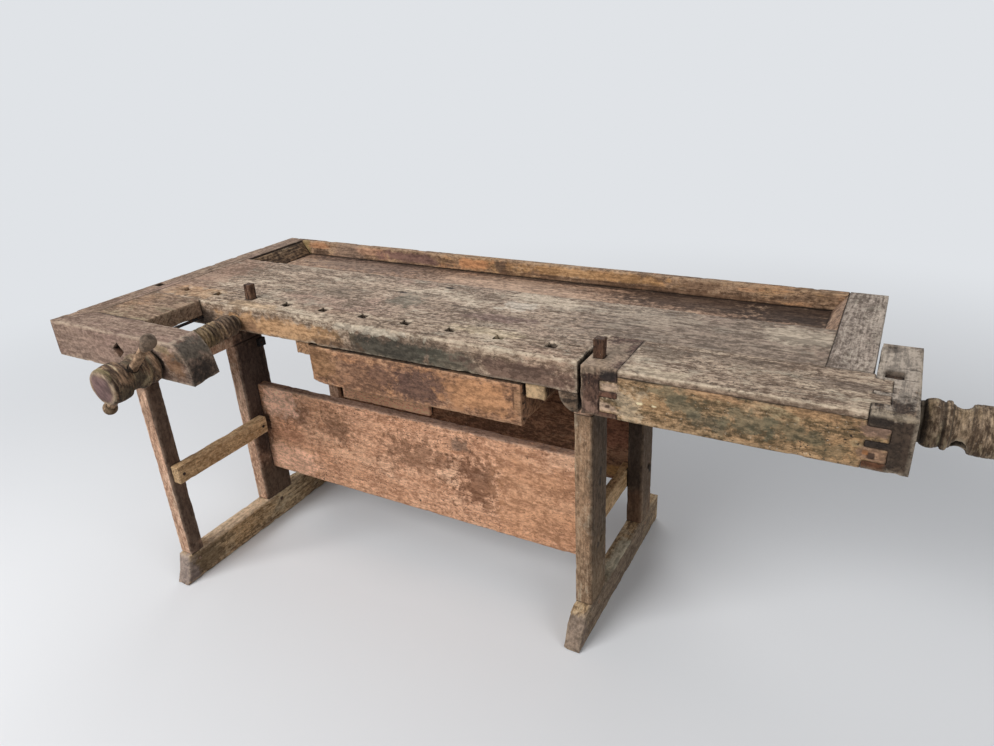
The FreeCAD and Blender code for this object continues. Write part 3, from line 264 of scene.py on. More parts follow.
def distance_to(points, targets, reach):
    """Distance from each point to the nearest target, up to reach, and that target's share of wear."""
    result = np.full(len(points), reach)
    share = np.ones(len(points))
    if not targets:
        return result, share
    tree = KDTree(len(targets))
    for index, (target, _) in enumerate(targets):
        tree.insert(target, index)
    tree.balance()
    for index, point in enumerate(points):
        _, nearest, distance = tree.find(point)
        if distance < reach:
            result[index] = distance
            share[index] = targets[nearest][1]
    return result, share


def wear(mesh, name, seed, worn, dented, wavy, along):
    """Rounds and dents the free corners, waves the faces along the grain, and stores the masks for the finish."""
    points = coords(mesh)
    out = normals(mesh)
    free, closed = corner_points(name)
    to_free, share = distance_to(points, free, EDGE_REACH)
    to_closed, _ = distance_to(points, closed, EDGE_REACH)
    near = 1 - rise(to_free, 0, EDGE_NEAR)
    open_face = rise(to_closed, 0, EDGE_NEAR)

    slow = rough_field(points, SLOW, seed, 3)
    quick = rough_field(points, QUICK, seed + 5, 2)
    dent = rise(rough_field(points, DENT, seed + 9, 2), 0.60, 0.16)
    inward = worn * share * near ** 2 * (0.35 + 1.1 * slow + 0.8 * (quick - 0.5))
    inward += dented * share * (1 - to_free / EDGE_REACH) ** 2 * dent * open_face
    stretch = np.full(3, WAVE_ACROSS)
    stretch[along] = WAVE_ALONG
    inward += wavy * rough_field(points, stretch, seed + 23, 2) * open_face * (1 - near)
    set_coords(mesh, points - out * np.clip(inward, 0, None)[:, None])
    set_mask(mesh, "edge", near * share * (0.35 + 1.3 * quick))
    set_mask(mesh, "seam", 1 - rise(to_closed, 0, SEAM_REACH))
    # the shelter mask sets where the finish paints shade and old dirt
    set_mask(mesh, "shelter", shelter(points, out))


# -------------- shader helpers
class Tree:
    """A node tree with short calls: plain values set a socket, sockets are linked to it."""

    def __init__(self, tree):
        self.tree = tree

    def node(self, kind, settings=None, inputs=None):
        made = self.tree.nodes.new(kind)
        for key, value in (settings or {}).items():
            setattr(made, key, value)
        for key, value in (inputs or {}).items():
            self.plug(made.inputs[key], value)
        return made

    def plug(self, socket, value):
        if isinstance(value, bpy.types.NodeSocket):
            self.tree.links.new(value, socket)
        else:
            socket.default_value = value

    def math(self, operation, first, second=0.0, clamp=False):
        settings = {"operation": operation, "use_clamp": clamp}
        return self.node("ShaderNodeMath", settings, {0: first, 1: second}).outputs[0]

    def times(self, first, second, clamp=False):
        return self.math("MULTIPLY", first, second, clamp)

    def plus(self, first, second, clamp=False):
        return self.math("ADD", first, second, clamp)

    def minus(self, first, second):
        return self.math("SUBTRACT", first, second)

    def vector(self, operation, first, second=(0, 0, 0)):
        node = self.node("ShaderNodeVectorMath", {"operation": operation}, {0: first, 1: second})
        return node.outputs["Value" if operation in ("LENGTH", "DOT_PRODUCT") else 0]

    def mix(self, factor, first, second, blend="MIX"):
        node = self.node("ShaderNodeMix", {"data_type": "RGBA", "blend_type": blend},
                         {0: factor, 6: first, 7: second})
        return node.outputs[2]

    def shaded(self, color, shade):
        """The colour times the shade, which is a socket."""
        return self.mix(1.0, color, shade, "MULTIPLY")

    def ramp(self, value, low, high, out_low=0.0, out_high=1.0, smooth=True):
        settings = {"interpolation_type": "SMOOTHSTEP" if smooth else "LINEAR"}
        return self.node("ShaderNodeMapRange", settings,
                         {0: value, 1: low, 2: high, 3: out_low, 4: out_high}).outputs[0]

    def noise(self, vector, scale, detail, rough, twist=0.0):
        return self.node("ShaderNodeTexNoise", {}, {
            "Vector": vector, "Scale": scale, "Detail": detail, "Roughness": rough, "Distortion": twist,
        }).outputs[0]


def new_material(name):
    material = bpy.data.materials.new(name)
    material.use_nodes = True
    material.node_tree.nodes.clear()
    return material, Tree(material.node_tree)


def new_group(name, inputs, outputs):
    """An empty shader group. inputs and outputs give the labels of each kind of socket."""
    group = bpy.data.node_groups.new(name, "ShaderNodeTree")
    for in_out, sockets in (("INPUT", inputs), ("OUTPUT", outputs)):
        for kind, labels in sockets.items():
            for label in labels:
                group.interface.new_socket(label, in_out=in_out, socket_type="NodeSocket" + kind)
    tree = Tree(group)
    return group, tree, tree.node("NodeGroupInput").outputs, tree.node("NodeGroupOutput").inputs


def place_group(tree, group, inputs):
    return tree.node("ShaderNodeGroup", {"node_tree": group}, inputs).outputs


def blotch_group():
    """A ragged soft-edged spot round a centre, like a box with well rounded corners."""
    group, tree, given, leave = new_group(
        "blotch", {"Vector": ["Vector", "Centre", "Reach"], "Float": ["Ragged"]}, {"Float": ["Mask"]})
    offset = tree.vector("DIVIDE", tree.vector("SUBTRACT", given["Vector"], given["Centre"]), given["Reach"])
    distance = tree.math("SQRT", tree.vector("LENGTH", tree.vector("MULTIPLY", offset, offset)))
    break_up = tree.minus(tree.noise(given["Vector"], 38.0, 6.0, 0.7), 0.5)
    moved = tree.plus(distance, tree.times(break_up, tree.times(given["Ragged"], 3.0)))
    tree.plug(leave["Mask"], tree.ramp(moved, 0.55, 1.05, 1.0, 0.0))
    return group


# -------------- old wood
# dark tone of dirt, specks, scratches and cracks, also used for the painted shade in holes, slots and gaps
GRIME_AND_SHADE = paint(36, 29, 24)
CHALK = paint(204, 192, 174)
GRAIN_WIDTH = 0.070      # half the range of values that turns from deep to body tone
TONES = ("Body", "Pale", "Deep", "Tint")
MASKS = ("Edge", "Seam", "Shelter")
USUAL_AMOUNTS = {
    "Contrast": 1.0, "Patches": 0.6, "Specks": 0.5, "Scratches": 0.3, "Flecks": 0.2, "Cracks": 0.4,
    "Rubbed": 0.5, "Joint": 0.6, "Fibre": 1.0,
}


def old_wood_group():
    """Old dirty wood whose grain runs along X of the vector that it is given."""
    group, tree, given, leave = new_group("old wood", {
        "Vector": ["Vector"], "Color": [*TONES, "Cast", "Grime_And_Shade"], "Float": [*USUAL_AMOUNTS, *MASKS, "End"],
    }, {"Color": ["Color"], "Float": ["Roughness", "Height", "Grain", "Worn_And_Lit"]})
    spot, grime_and_shade = given["Vector"], given["Grime_And_Shade"]
    ramp, mix, times, plus, minus, shaded = tree.ramp, tree.mix, tree.times, tree.plus, tree.minus, tree.shaded

    def stretched(vector, *scale):
        return tree.vector("MULTIPLY", vector, scale)

    def wander(vector, scale, *reach):
        """The vector pushed about by a slow noise, half of reach each way."""
        color = tree.noise(spot, scale, 2.0, 0.5).node.outputs["Color"]
        return tree.vector("ADD", vector, stretched(tree.vector("SUBTRACT", color, (0.5, 0.5, 0.5)), *reach))

    def pattern(vector, along, across, detail, rough, twist=0.0, shift=None):
        """Noise with so many waves a metre along the grain and across it."""
        scaled = stretched(vector, along, across, across)
        if shift:
            scaled = tree.vector("ADD", scaled, shift)
        return tree.noise(scaled, 1.0, detail, rough, twist)

    def weighed(*pairs):
        """The sum of values, each times its weight."""
        total, *others = [times(value, weight) for value, weight in pairs]
        for part in others:
            total = plus(total, part)
        return total

    def lay(below, color, mask, amount):
        """The colour laid over the one below, as strongly as the mask times the amount."""
        return mix(times(mask, amount, True), below, color)

    def grained(color):
        return shaded(color, ramp(grain, 0, 1, 0.72, 1.22, False))

    bent = wander(wander(spot, 3.0, 0, 0.022, 0.022), 21.0, 0, 0.004, 0.004)
    fibre = pattern(bent, 16, 1000, 3.0, 0.6)
    lines = pattern(bent, 11, 180, 4.0, 0.66)
    bands = pattern(bent, 1.6, 44, 3.0, 0.55)
    mottle = pattern(spot, 62, 105, 5.0, 0.74)
    grit = pattern(spot, 170, 210, 3.0, 0.65)
    smear = pattern(spot, 12, 28, 6.0, 0.70, 0.5)
    mid = pattern(spot, 9, 20, 5.0, 0.65, 0.4, (2.2, 6.1, 3.7))
    cloud = pattern(spot, 3.0, 6.0, 4.0, 0.6, 0.3)
    other_cloud = pattern(spot, 2.4, 5.0, 4.0, 0.6, 0.3, (7.3, 1.9, 4.4))

    # grain, then patches of other tones
    woven = mix(given["Fibre"], mottle, lines)
    tone = weighed((bands, 0.16), (woven, 0.24), (mottle, 0.34), (smear, 0.26))
    half_width = tree.math("DIVIDE", GRAIN_WIDTH, given["Contrast"])
    grain = ramp(tone, minus(0.5, half_width), plus(0.5, half_width))
    base = mix(grain, given["Deep"], given["Body"])
    tinted = ramp(weighed((other_cloud, 0.6), (smear, 0.25), (lines, 0.15)), 0.50, 0.60)
    base = lay(base, grained(given["Tint"]), tinted, given["Patches"])
    pale = ramp(weighed((cloud, 0.45), (smear, 0.25), (lines, 0.15), (mottle, 0.15)), 0.505, 0.60)
    base = lay(base, given["Pale"], pale, given["Patches"])
    dark = ramp(weighed((cloud, 0.45), (smear, 0.25), (mottle, 0.3)), 0.485, 0.40)
    base = lay(base, given["Deep"], dark, given["Patches"])
    cast = ramp(weighed((mid, 0.55), (mottle, 0.25), (lines, 0.2)), 0.52, 0.60)
    base = lay(base, grained(given["Cast"]), cast, times(given["Patches"], 0.75))

    # dirt in the grain, grit and fibres
    dirt = ramp(weighed((mottle, 0.45), (lines, 0.35), (mid, 0.2)), 0.40, 0.60, -1.0, 1.0, False)
    base = shaded(base, plus(times(dirt, times(given["Contrast"], 0.30)), 1.02))
    base = shaded(base, ramp(grit, 0.3, 0.7, 0.77, 1.23, False))
    strands = ramp(fibre, 0.3, 0.7, -0.16, 0.16, False)
    base = shaded(base, plus(times(strands, given["Fibre"]), 1.0))

    # end grain, and corners rubbed pale: wear together with a painted highlight along the edges
    end_lines = tree.noise(stretched(bent, 0, 26, 300), 1.0, 4.0, 0.65)
    end_tone = mix(ramp(weighed((end_lines, 0.6), (mottle, 0.4)), 0.36, 0.62), grime_and_shade, given["Body"])
    base = lay(base, end_tone, given["End"], 0.6)
    worn = ramp(weighed((mottle, 0.6), (smear, 0.4)), 0.40, 0.56, 0.15, 1.0)
    worn = times(worn, times(given["Edge"], given["Rubbed"]), True)
    base = mix(worn, base, given["Pale"])

    # dark specks in swarms, scratches both ways, chalky flecks and cracks along the grain
    swarm = ramp(pattern(spot, 8, 8, 3.0, 0.6), 0.42, 0.62)
    speck = ramp(pattern(spot, 150, 260, 2.0, 0.5), 0.60, 0.70)
    speck = times(times(speck, plus(swarm, 0.25)), given["Specks"], True)
    base = mix(speck, base, grime_and_shade)
    crossing = tree.noise(wander(stretched(spot, 60, 8, 60), 5.0, 3, 3, 3), 1.0, 3.0, 0.8)
    slanting = tree.noise(wander(stretched(spot, 14, 110, 60), 4.0, 4, 4, 4), 1.0, 3.0, 0.8)
    scratch = plus(ramp(crossing, 0.66, 0.71), ramp(slanting, 0.67, 0.72), True)
    scratch = times(scratch, given["Scratches"], True)
    base = mix(scratch, base, grime_and_shade)
    fleck = ramp(pattern(spot, 150, 170, 2.0, 0.5, shift=(3, 5, 8)), 0.66, 0.73)
    base = lay(base, CHALK, fleck, given["Flecks"])
    split = tree.math("ABSOLUTE", minus(pattern(bent, 1.2, 62, 1.0, 0.5), 0.5))
    split = times(ramp(split, 0.0, 0.013, 1.0, 0.0), ramp(pattern(spot, 3, 14, 2.0, 0.5), 0.55, 0.62))
    split = times(split, given["Cracks"], True)
    base = mix(split, base, grime_and_shade)

    # painted shade and old dirt in sheltered places (holes, slots, gaps), and old dirt in closed corners
    base = lay(base, grime_and_shade, given["Shelter"], ramp(mottle, 0.35, 0.62, 0.98, 0.80))
    seam = times(given["Seam"], ramp(mottle, 0.30, 0.58, 0.45, 1.0))
    base = lay(base, grime_and_shade, seam, given["Joint"])

    height = weighed((times(fibre, given["Fibre"]), 0.35), (woven, 0.5), (mottle, 0.6), (grit, 0.4),
                     (smear, 0.5), (speck, -0.5), (scratch, -0.4), (split, -1.2))
    roughness = ramp(mottle, 0.3, 0.7, 0.90, 0.66)
    for label, value in (("Color", base), ("Roughness", roughness), ("Height", height), ("Grain", grain),
                         ("Worn_And_Lit", worn)):
        tree.plug(leave[label], value)
    return group


BLOTCH = blotch_group()
OLD_WOOD = old_wood_group()


def grain_vector(tree, along, shift, turned):
    """Object coordinates turned so that the grain comes first, and shifted so that no two timbers match.

    On turned pieces the marks run round the axis.
    """
    spot = tree.node("ShaderNodeTexCoord").outputs["Object"]
    side = along.orthogonal().normalized()
    rows = (side, along, along.cross(side) * 0.2) if turned else (along, side, along.cross(side))
    parts = [tree.vector("DOT_PRODUCT", spot, tuple(row)) for row in rows]
    joined = tree.node("ShaderNodeCombineXYZ", {}, dict(enumerate(parts))).outputs[0]
    return spot, tree.vector("ADD", joined, (shift * 1.37, shift * 0.71, shift * 0.43))


def end_material(tree, color, roughness, height, bump, deep, **more):
    """Ends a material with its shader. The bump is as deep as said, in metres."""
    bumped = tree.node("ShaderNodeBump", {}, {"Strength": bump, "Distance": deep, "Height": height})
    shader = tree.node("ShaderNodeBsdfPrincipled", {}, {
        "Base Color": color, "Roughness": roughness, "Normal": bumped.outputs[0], **more})
    tree.node("ShaderNodeOutputMaterial", {}, {"Surface": shader.outputs[0]})


def wood(name, along, shift, tones, cast, spots, shine=0.25, turned=False, **amounts):
    """A timber's finish. tones are body, pale, deep and tint, and amounts differ from the usual ones."""
    material, tree = new_material(name)
    along = Vector(along).normalized()
    spot, grain = grain_vector(tree, along, shift, turned)
    facing = tree.node("ShaderNodeTexCoord").outputs["Normal"]
    end = tree.math("ABSOLUTE", tree.vector("DOT_PRODUCT", facing, tuple(along)))
    inputs = {"Vector": grain, "Cast": paint(*CAST[cast]), "Grime_And_Shade": GRIME_AND_SHADE, "End": tree.ramp(end, 0.75, 0.95)}
    for label, tone in zip(TONES, tones):
        inputs[label] = paint(*tone)
    for label, usual in USUAL_AMOUNTS.items():
        inputs[label] = amounts.get(label.lower(), usual)
    for label in MASKS:
        inputs[label] = tree.node("ShaderNodeAttribute", {"attribute_name": label.lower()}).outputs["Fac"]
    made = place_group(tree, OLD_WOOD, inputs)
    color = made["Color"]
    shade = tree.ramp(made["Grain"], 0.0, 1.0, 0.66, 1.36, False)
    for tone, centre, reach, strength, ragged in spots:
        mask = place_group(tree, BLOTCH, {
            "Vector": spot, "Centre": tuple(at(*centre)), "Reach": tuple(r * MM for r in reach), "Ragged": ragged})
        color = tree.mix(tree.times(mask["Mask"], strength), color, tree.shaded(paint(*tone), shade))
    # corners paler again over the spots: wear together with a painted edge highlight
    color = tree.mix(tree.times(made["Worn_And_Lit"], 0.5), color, inputs["Pale"])
    end_material(tree, color, made["Roughness"], made["Height"], 0.6, 0.0016, **{"Specular IOR Level": shine})
    return material


def iron():
    """Dark forged iron, pitted and dull."""
    material, tree = new_material("forged iron")
    spot = tree.node("ShaderNodeTexCoord").outputs["Object"]
    pit = tree.noise(spot, 240.0, 6.0, 0.7)
    rust = tree.noise(spot, 70.0, 5.0, 0.6)
    color = tree.mix(tree.ramp(rust, 0.45, 0.65), paint(42, 40, 40), paint(78, 52, 38))
    end_material(tree, color, tree.ramp(pit, 0.3, 0.7, 0.45, 0.8), pit, 0.5, 0.001, Metallic=0.7)
    return material


# -------------- finishes
LONG, DEEP, UPRIGHT = Vector((1, 0, 0)), Vector((0, 1, 0)), Vector((0, 0, 1))
screw_axis = joints["front_screw_turn"]["axis"]
handle_axis = joints["front_handle_slide"]["axis"]


def along_handle(distance):
    """A place on the front handle, in the bench's millimetres, so many metres from the knob's middle."""
    low, high = boxes["front_handle_knob"]
    place = (low + high) / 2 + Vector(handle_axis) * distance
    return (place.x - LEFT_END) / MM, (place.y - BACK_FACE) / MM, place.z / MM


def on_plane(axis, level, thick, rows):
    """Spots on one plane, whose places and reaches leave out the axis across it."""
    return [(tone, (*centre[:axis], level, *centre[axis:]), (*reach[:axis], thick, *reach[axis:]), *rest)
            for tone, centre, reach, *rest in rows]


# faces of the bench, in its own millimetres
FRONT, VISE_FRONT, ARM_FRONT, BACK_OF_TOP = -693, -706, -981, -25
BOARD_FRONT, REAR_BOARD_FRONT = -597, -205.5
TOP, TRAY_TOP = 820, 768
LEFT_LEGS, RIGHT_LEGS = 341, 1522

# places of another tone: colour, centre, reach, strength, ragged
TOP_SPOTS = on_plane(2, TOP, 30, [
    ((120, 106, 94), (1750, -430), (420, 170), 0.55, 0.9),
    ((112, 98, 84), (640, -480), (70, 40), 0.55, 0.9),
    ((104, 101, 88), (885, -470), (60, 55), 0.55, 1.0),
    ((158, 124, 112), (850, -160), (150, 60), 0.45, 0.8),
    ((104, 80, 74), (1210, -515), (120, 30), 0.6, 0.9),
    ((204, 192, 176), (1215, -410), (55, 40), 0.6, 1.2),
    ((204, 192, 172), (1360, -230), (80, 32), 0.7, 1.0),
    ((186, 170, 150), (1925, -372), (95, 60), 0.75, 0.7),
    ((96, 80, 68), (1700, -250), (200, 30), 0.5, 1.0),
    ((92, 80, 68), (330, -350), (60, 26), 0.5, 1.0),
    ((138, 108, 90), (110, -500), (130, 260), 0.65, 0.9),
    ((176, 140, 104), (200, -640), (120, 50), 0.5, 0.8),
    ((188, 160, 128), (480, -672), (120, 24), 0.6, 0.8),
    ((180, 163, 146), (560, -258), (180, 34), 0.5, 0.8),
    ((206, 186, 154), (1230, -606), (120, 24), 0.4, 1.0),
])
TOP_SPOTS += on_plane(2, TOP, 20, [
    ((48, 38, 32), (835, -419), (15, 9), 0.95, 0.25),
    ((40, 32, 27), (947, -339), (19, 8), 0.95, 0.25),
    ((66, 54, 44), (1068, -470), (60, 6), 0.7, 0.5),
    ((58, 48, 40), (560, -230), (90, 6), 0.6, 0.5),
    ((62, 52, 44), (1480, -440), (110, 7), 0.6, 0.5),
])
FRONT_SPOTS = [
    ((114, 93, 77), (840, FRONT, 776), (800, 9, 50), 0.5, 0.6),
    ((84, 72, 62), (1040, FRONT, 782), (230, 9, 46), 0.5, 0.8),
    # dark patch beside the shoulder block: painted shadow of the front screw, together with dirt
    ((58, 46, 38), (300, FRONT, 762), (50, 9, 40), 0.8, 0.5),
    ((172, 132, 92), (600, FRONT, 768), (270, 12, 36), 0.75, 0.8),
    ((108, 80, 60), (470, FRONT, 752), (60, 16, 34), 0.75, 0.6),
    ((56, 54, 46), (985, FRONT, 766), (180, 12, 38), 0.85, 1.0),
    ((84, 80, 68), (1170, FRONT, 758), (110, 12, 36), 0.7, 1.0),
    ((92, 70, 60), (1370, FRONT, 762), (170, 12, 36), 0.8, 0.9),
    ((78, 58, 46), (780, FRONT, 748), (110, 12, 20), 0.6, 0.9),
    ((206, 194, 174), (905, FRONT, 808), (150, 12, 11), 0.5, 1.6),
]
CHEEK_SPOTS = on_plane(1, VISE_FRONT, 10, [
    ((104, 96, 76), (1720, 788), (44, 22), 0.7, 1.3),
    ((104, 96, 76), (1752, 764), (46, 24), 0.7, 1.3),
    ((92, 86, 70), (1800, 738), (50, 20), 0.6, 1.3),
    ((104, 96, 76), (1880, 754), (62, 24), 0.7, 1.3),
    ((88, 84, 66), (1960, 750), (60, 22), 0.6, 1.4),
    ((92, 84, 64), (2020, 724), (60, 20), 0.5, 1.4),
    ((180, 140, 104), (1800, 798), (70, 9), 0.5, 1.2),
    ((172, 134, 98), (2010, 796), (70, 14), 0.45, 1.2),
    ((186, 168, 142), (1625, 745), (36, 44), 0.5, 1.4),
    ((208, 194, 158), (1653, 750), (9, 3.5), 0.85, 0.6),
    ((208, 194, 158), (1686, 750), (7, 3.0), 0.85, 0.6),
    ((172, 148, 128), (1580, 775), (30, 16), 0.8, 0.8),
    ((172, 148, 128), (1580, 727), (30, 14), 0.8, 0.8),
    ((58, 40, 32), (1581, 729), (8, 6), 0.9, 0.5),
    ((140, 112, 96), (2106, 785), (30, 18), 0.8, 0.8),
    ((140, 110, 90), (2106, 734), (34, 16), 0.8, 0.8),
    ((46, 32, 26), (2102, 731), (9, 8), 0.9, 0.5),
    ((170, 112, 66), (2092, 736), (6, 6), 0.6, 0.5),
])
STRETCHER_SPOTS = [
    ((96, 60, 40), (1160, BOARD_FRONT, 350), (80, 14, 90), 0.75, 1.4),
    ((104, 72, 52), (950, BOARD_FRONT, 385), (120, 14, 60), 0.6, 1.6),
    ((112, 80, 62), (492, BOARD_FRONT, 425), (60, 14, 40), 0.65, 1.4),
    ((110, 80, 60), (655, BOARD_FRONT, 425), (56, 14, 56), 0.6, 1.5),
    # dark strip at the left end of the stretcher: painted shadow of the left leg
    ((84, 60, 44), (350, BOARD_FRONT, 340), (20, 14, 130), 0.75, 0.8),
    ((186, 136, 100), (1350, BOARD_FRONT, 330), (160, 14, 150), 0.5, 0.6),
    # pale salmon patch at the top of the left end: painted light where the slab above shades it, over the
    # stretcher's own salmon tone
    ((250, 204, 176), (425, BOARD_FRONT, 466), (80, 14, 64), 0.8, 0.7),
    ((244, 194, 164), (440, BOARD_FRONT, 255), (120, 14, 60), 0.6, 0.8),
    ((150, 104, 80), (440, BOARD_FRONT, 345), (90, 14, 26), 0.5, 1.4),
    ((104, 86, 74), (1104, BOARD_FRONT, 458), (36, 14, 22), 0.7, 0.8),
    ((104, 88, 80), (930, -580, 512), (760, 40, 9), 0.7, 0.6),
]
# painted light: the batten low behind the front stretcher is painted pale as if light through the gap fell on it
BATTEN_PAINTED_LIGHT = [((255, 204, 168), (546, -223, 341), (500, 60, 160), 0.9, 0.4)]
REAR_SPOTS = on_plane(1, REAR_BOARD_FRONT, 12, [
    ((176, 138, 90), (1424, 232), (52, 24), 0.85, 0.3),
    ((130, 84, 66), (1416, 380), (60, 90), 0.5, 0.5),
])
DRAWER_SPOTS = on_plane(1, FRONT, 14, [
    ((78, 58, 52), (1080, 676), (120, 54), 0.8, 0.9),
    ((106, 78, 62), (860, 672), (130, 50), 0.5, 0.9),
    ((88, 64, 56), (960, 690), (60, 40), 0.4, 1.2),
    ((178, 130, 92), (1230, 680), (120, 50), 0.7, 0.8),
    ((128, 94, 62), (720, 690), (70, 60), 0.6, 0.8),
    ((142, 108, 80), (1347, 690), (12, 40), 0.7, 0.5),
    ((84, 58, 42), (1338, 700), (3, 34), 0.7, 0.6),
])
ARM_SPOTS = [
    ((122, 88, 60), (510, ARM_FRONT, 766), (44, 12, 40), 0.75, 0.8),
    ((80, 74, 65), (545, -925, 800), (50, 70, 34), 0.88, 0.8),
    ((34, 31, 28), (590, -925, 736), (50, 90, 46), 0.92, 0.5),
    ((128, 106, 94), (240, ARM_FRONT, 762), (260, 9, 60), 0.55, 0.7),
    ((140, 122, 94), (480, ARM_FRONT, 802), (36, 12, 12), 0.55, 0.9),
    ((96, 72, 62), (400, ARM_FRONT, 735), (100, 14, 24), 0.6, 1.0),
    ((58, 44, 38), (170, -890, 820), (110, 2.2, 6), 0.8, 0.3),
    # inside of the recess in the arm's front: painted light, a lit pinkish brown laid over the painted shade there
    ((128, 98, 80), (273, -964, 757), (13, 20, 12), 0.85, 0.2),
]
RAIL_SPOTS = on_plane(1, BACK_OF_TOP, 14, [
    ((118, 102, 64), (95, 800), (24, 40), 0.7, 0.6),
    ((156, 112, 80), (160, 806), (60, 14), 0.8, 0.6),
    ((118, 98, 86), (290, 800), (80, 40), 0.6, 0.8),
    ((66, 48, 36), (170, 780), (50, 14), 0.8, 0.9),
    ((176, 134, 108), (410, 802), (80, 16), 0.5, 0.7),
    ((104, 76, 70), (560, 796), (150, 22), 0.8, 0.8),
    ((180, 126, 86), (846, 796), (80, 20), 0.7, 0.7),
    ((84, 66, 54), (944, 795), (26, 26), 0.85, 0.5),
    ((176, 134, 88), (1250, 800), (280, 18), 0.6, 0.8),
    ((90, 66, 48), (1400, 778), (500, 9), 0.8, 1.0),
    ((84, 60, 44), (1601, 800), (60, 18), 0.5, 1.2),
])
JAW_SPOTS = [
    ((160, 140, 120), (1545, -640, TOP), (60, 110, 12), 0.8, 0.8),
    ((62, 44, 35), (1558, VISE_FRONT, 760), (60, 8, 90), 0.6, 0.6),
    ((34, 27, 24), (1582, VISE_FRONT, 803), (26, 10, 15), 0.95, 0.2),
    ((96, 66, 52), (1583, VISE_FRONT, 752), (26, 10, 14), 0.8, 0.5),
    ((84, 58, 46), (1583, VISE_FRONT, 706), (26, 10, 12), 0.8, 0.5),
    ((150, 130, 110), (1535, VISE_FRONT, 808), (26, 8, 9), 0.6, 1.2),
    ((46, 34, 30), (1519, VISE_FRONT, 748), (5, 8, 6), 0.8, 0.4),
    ((130, 104, 90), (1534, VISE_FRONT, 722), (24, 8, 20), 0.6, 1.2),
]
END_BLOCK_SPOTS = [
    ((52, 41, 33), (2129, VISE_FRONT, 768), (54, 10, 72), 0.85, 0.8),
    ((36, 28, 23), (2104, VISE_FRONT, 806), (26, 10, 12), 0.9, 0.3),
    ((36, 28, 23), (2108, VISE_FRONT, 760), (26, 10, 12), 0.9, 0.3),
    ((84, 52, 32), (2104, VISE_FRONT, 711), (26, 10, 12), 0.8, 0.5),
    ((174, 161, 147), (2130, -480, TOP), (60, 190, 12), 0.75, 0.9),
    ((152, 136, 114), (2134, -696, 816), (44, 12, 6), 0.5, 1.0),
    ((66, 56, 48), (2112, -372, TOP), (20, 30, 12), 0.6, 1.0),
    ((62, 49, 40), (2120, -513, 815), (24, 23, 20), 0.9, 0.3),
    ((44, 34, 29), (2153, -480, TOP), (18, 2.4, 12), 0.85, 0.25),
    ((44, 34, 29), (2140, -536, TOP), (28, 2.0, 12), 0.8, 0.2),
]
LEG_SPOTS = [
    # the next five: +X faces of the front and middle legs, darkest up under the slab: dark stain together with
    # painted shade
    ((70, 55, 45), (LEFT_LEGS, -946, 380), (9, 60, 430), 0.92, 0.25),
    ((42, 29, 25), (LEFT_LEGS, -591, 480), (9, 90, 320), 0.92, 0.25),
    ((66, 50, 38), (LEFT_LEGS, -591, 130), (9, 90, 150), 0.9, 0.25),
    ((56, 46, 36), (RIGHT_LEGS, -597, 470), (9, 80, 300), 0.75, 0.3),
    ((86, 72, 54), (RIGHT_LEGS, -597, 190), (9, 80, 140), 0.55, 0.5),
    ((34, 25, 21), (1498, -252, 400), (60, 9, 320), 0.9, 0.3),
    ((92, 66, 48), (1498, -252, 130), (60, 9, 100), 0.8, 0.4),
    ((84, 68, 54), (RIGHT_LEGS, -205, 350), (9, 60, 330), 0.85, 0.4),
    ((26, 21, 18), (RIGHT_LEGS, -180, 255), (9, 13, 15), 0.95, 0.2),
    ((38, 31, 26), (RIGHT_LEGS, -590, 482), (9, 9, 16), 0.85, 0.6),
    ((38, 31, 26), (RIGHT_LEGS, -594, 454), (9, 8, 14), 0.8, 0.6),
    ((44, 35, 29), (RIGHT_LEGS, -604, 265), (9, 8, 8), 0.8, 0.4),
]
FOOT_SPOTS = [
    ((106, 92, 80), (RIGHT_LEGS, -450, 50), (9, 420, 70), 0.8, 0.5),
    ((176, 168, 148), (1514, -420, 93), (30, 110, 9), 0.8, 0.6),
    ((96, 90, 76), (1500, -540, 93), (40, 70, 9), 0.6, 0.6),
    ((94, 78, 58), (LEFT_LEGS, -940, 50), (9, 110, 60), 0.8, 0.7),
    ((208, 184, 158), (317, -770, 93), (40, 180, 9), 0.6, 0.6),
    ((136, 122, 116), (317, -1000, 44), (50, 50, 80), 0.85, 0.7),
    ((124, 108, 96), (1498, -728, 44), (50, 56, 80), 0.85, 0.7),
]
TRAY_SPOTS = on_plane(2, TRAY_TOP, 12, [
    ((100, 87, 82), (420, -40), (300, 130), 0.5, 0.8),
    ((204, 174, 150), (1000, -130), (330, 90), 0.45, 0.9),
    ((62, 45, 35), (1600, -70), (260, 90), 0.85, 0.9),
    ((48, 35, 28), (1870, -80), (150, 120), 0.85, 0.8),
    ((60, 44, 34), (1000, -32), (900, 14), 0.7, 0.8),
])
COVER_SPOTS = [
    ((112, 90, 74), (1870, VISE_FRONT, 811), (300, 8, 7), 0.6, 0.7),
    ((108, 94, 80), (1657, -585, TOP), (70, 44, 9), 0.6, 1.1),
    ((100, 86, 74), (1826, -562, TOP), (110, 26, 9), 0.5, 1.4),
    ((96, 82, 72), (2037, -601, TOP), (70, 24, 9), 0.5, 1.4),
    ((188, 170, 146), (1690, -684, TOP), (90, 18, 9), 0.7, 1.2),
]
SCREW_SPOTS = [
    ((52, 46, 36), (458, -1075, 716), (54, 52, 44), 0.75, 0.8),
    ((58, 44, 34), (424, -1050, 760), (60, 16, 60), 0.6, 0.6),
    ((150, 134, 98), (416, -1124, 790), (60, 9, 26), 0.6, 0.7),
    ((196, 178, 146), (420, -1098, 786), (44, 2.6, 26), 0.75, 0.7),
    ((128, 122, 88), (410, -868, 778), (50, 34, 30), 0.55, 0.9),
    ((50, 38, 30), (424, -720, 765), (60, 36, 60), 0.65, 0.8),
    ((98, 76, 74), (424, -1133, 746), (47, 7, 47), 0.92, 0.3),
]
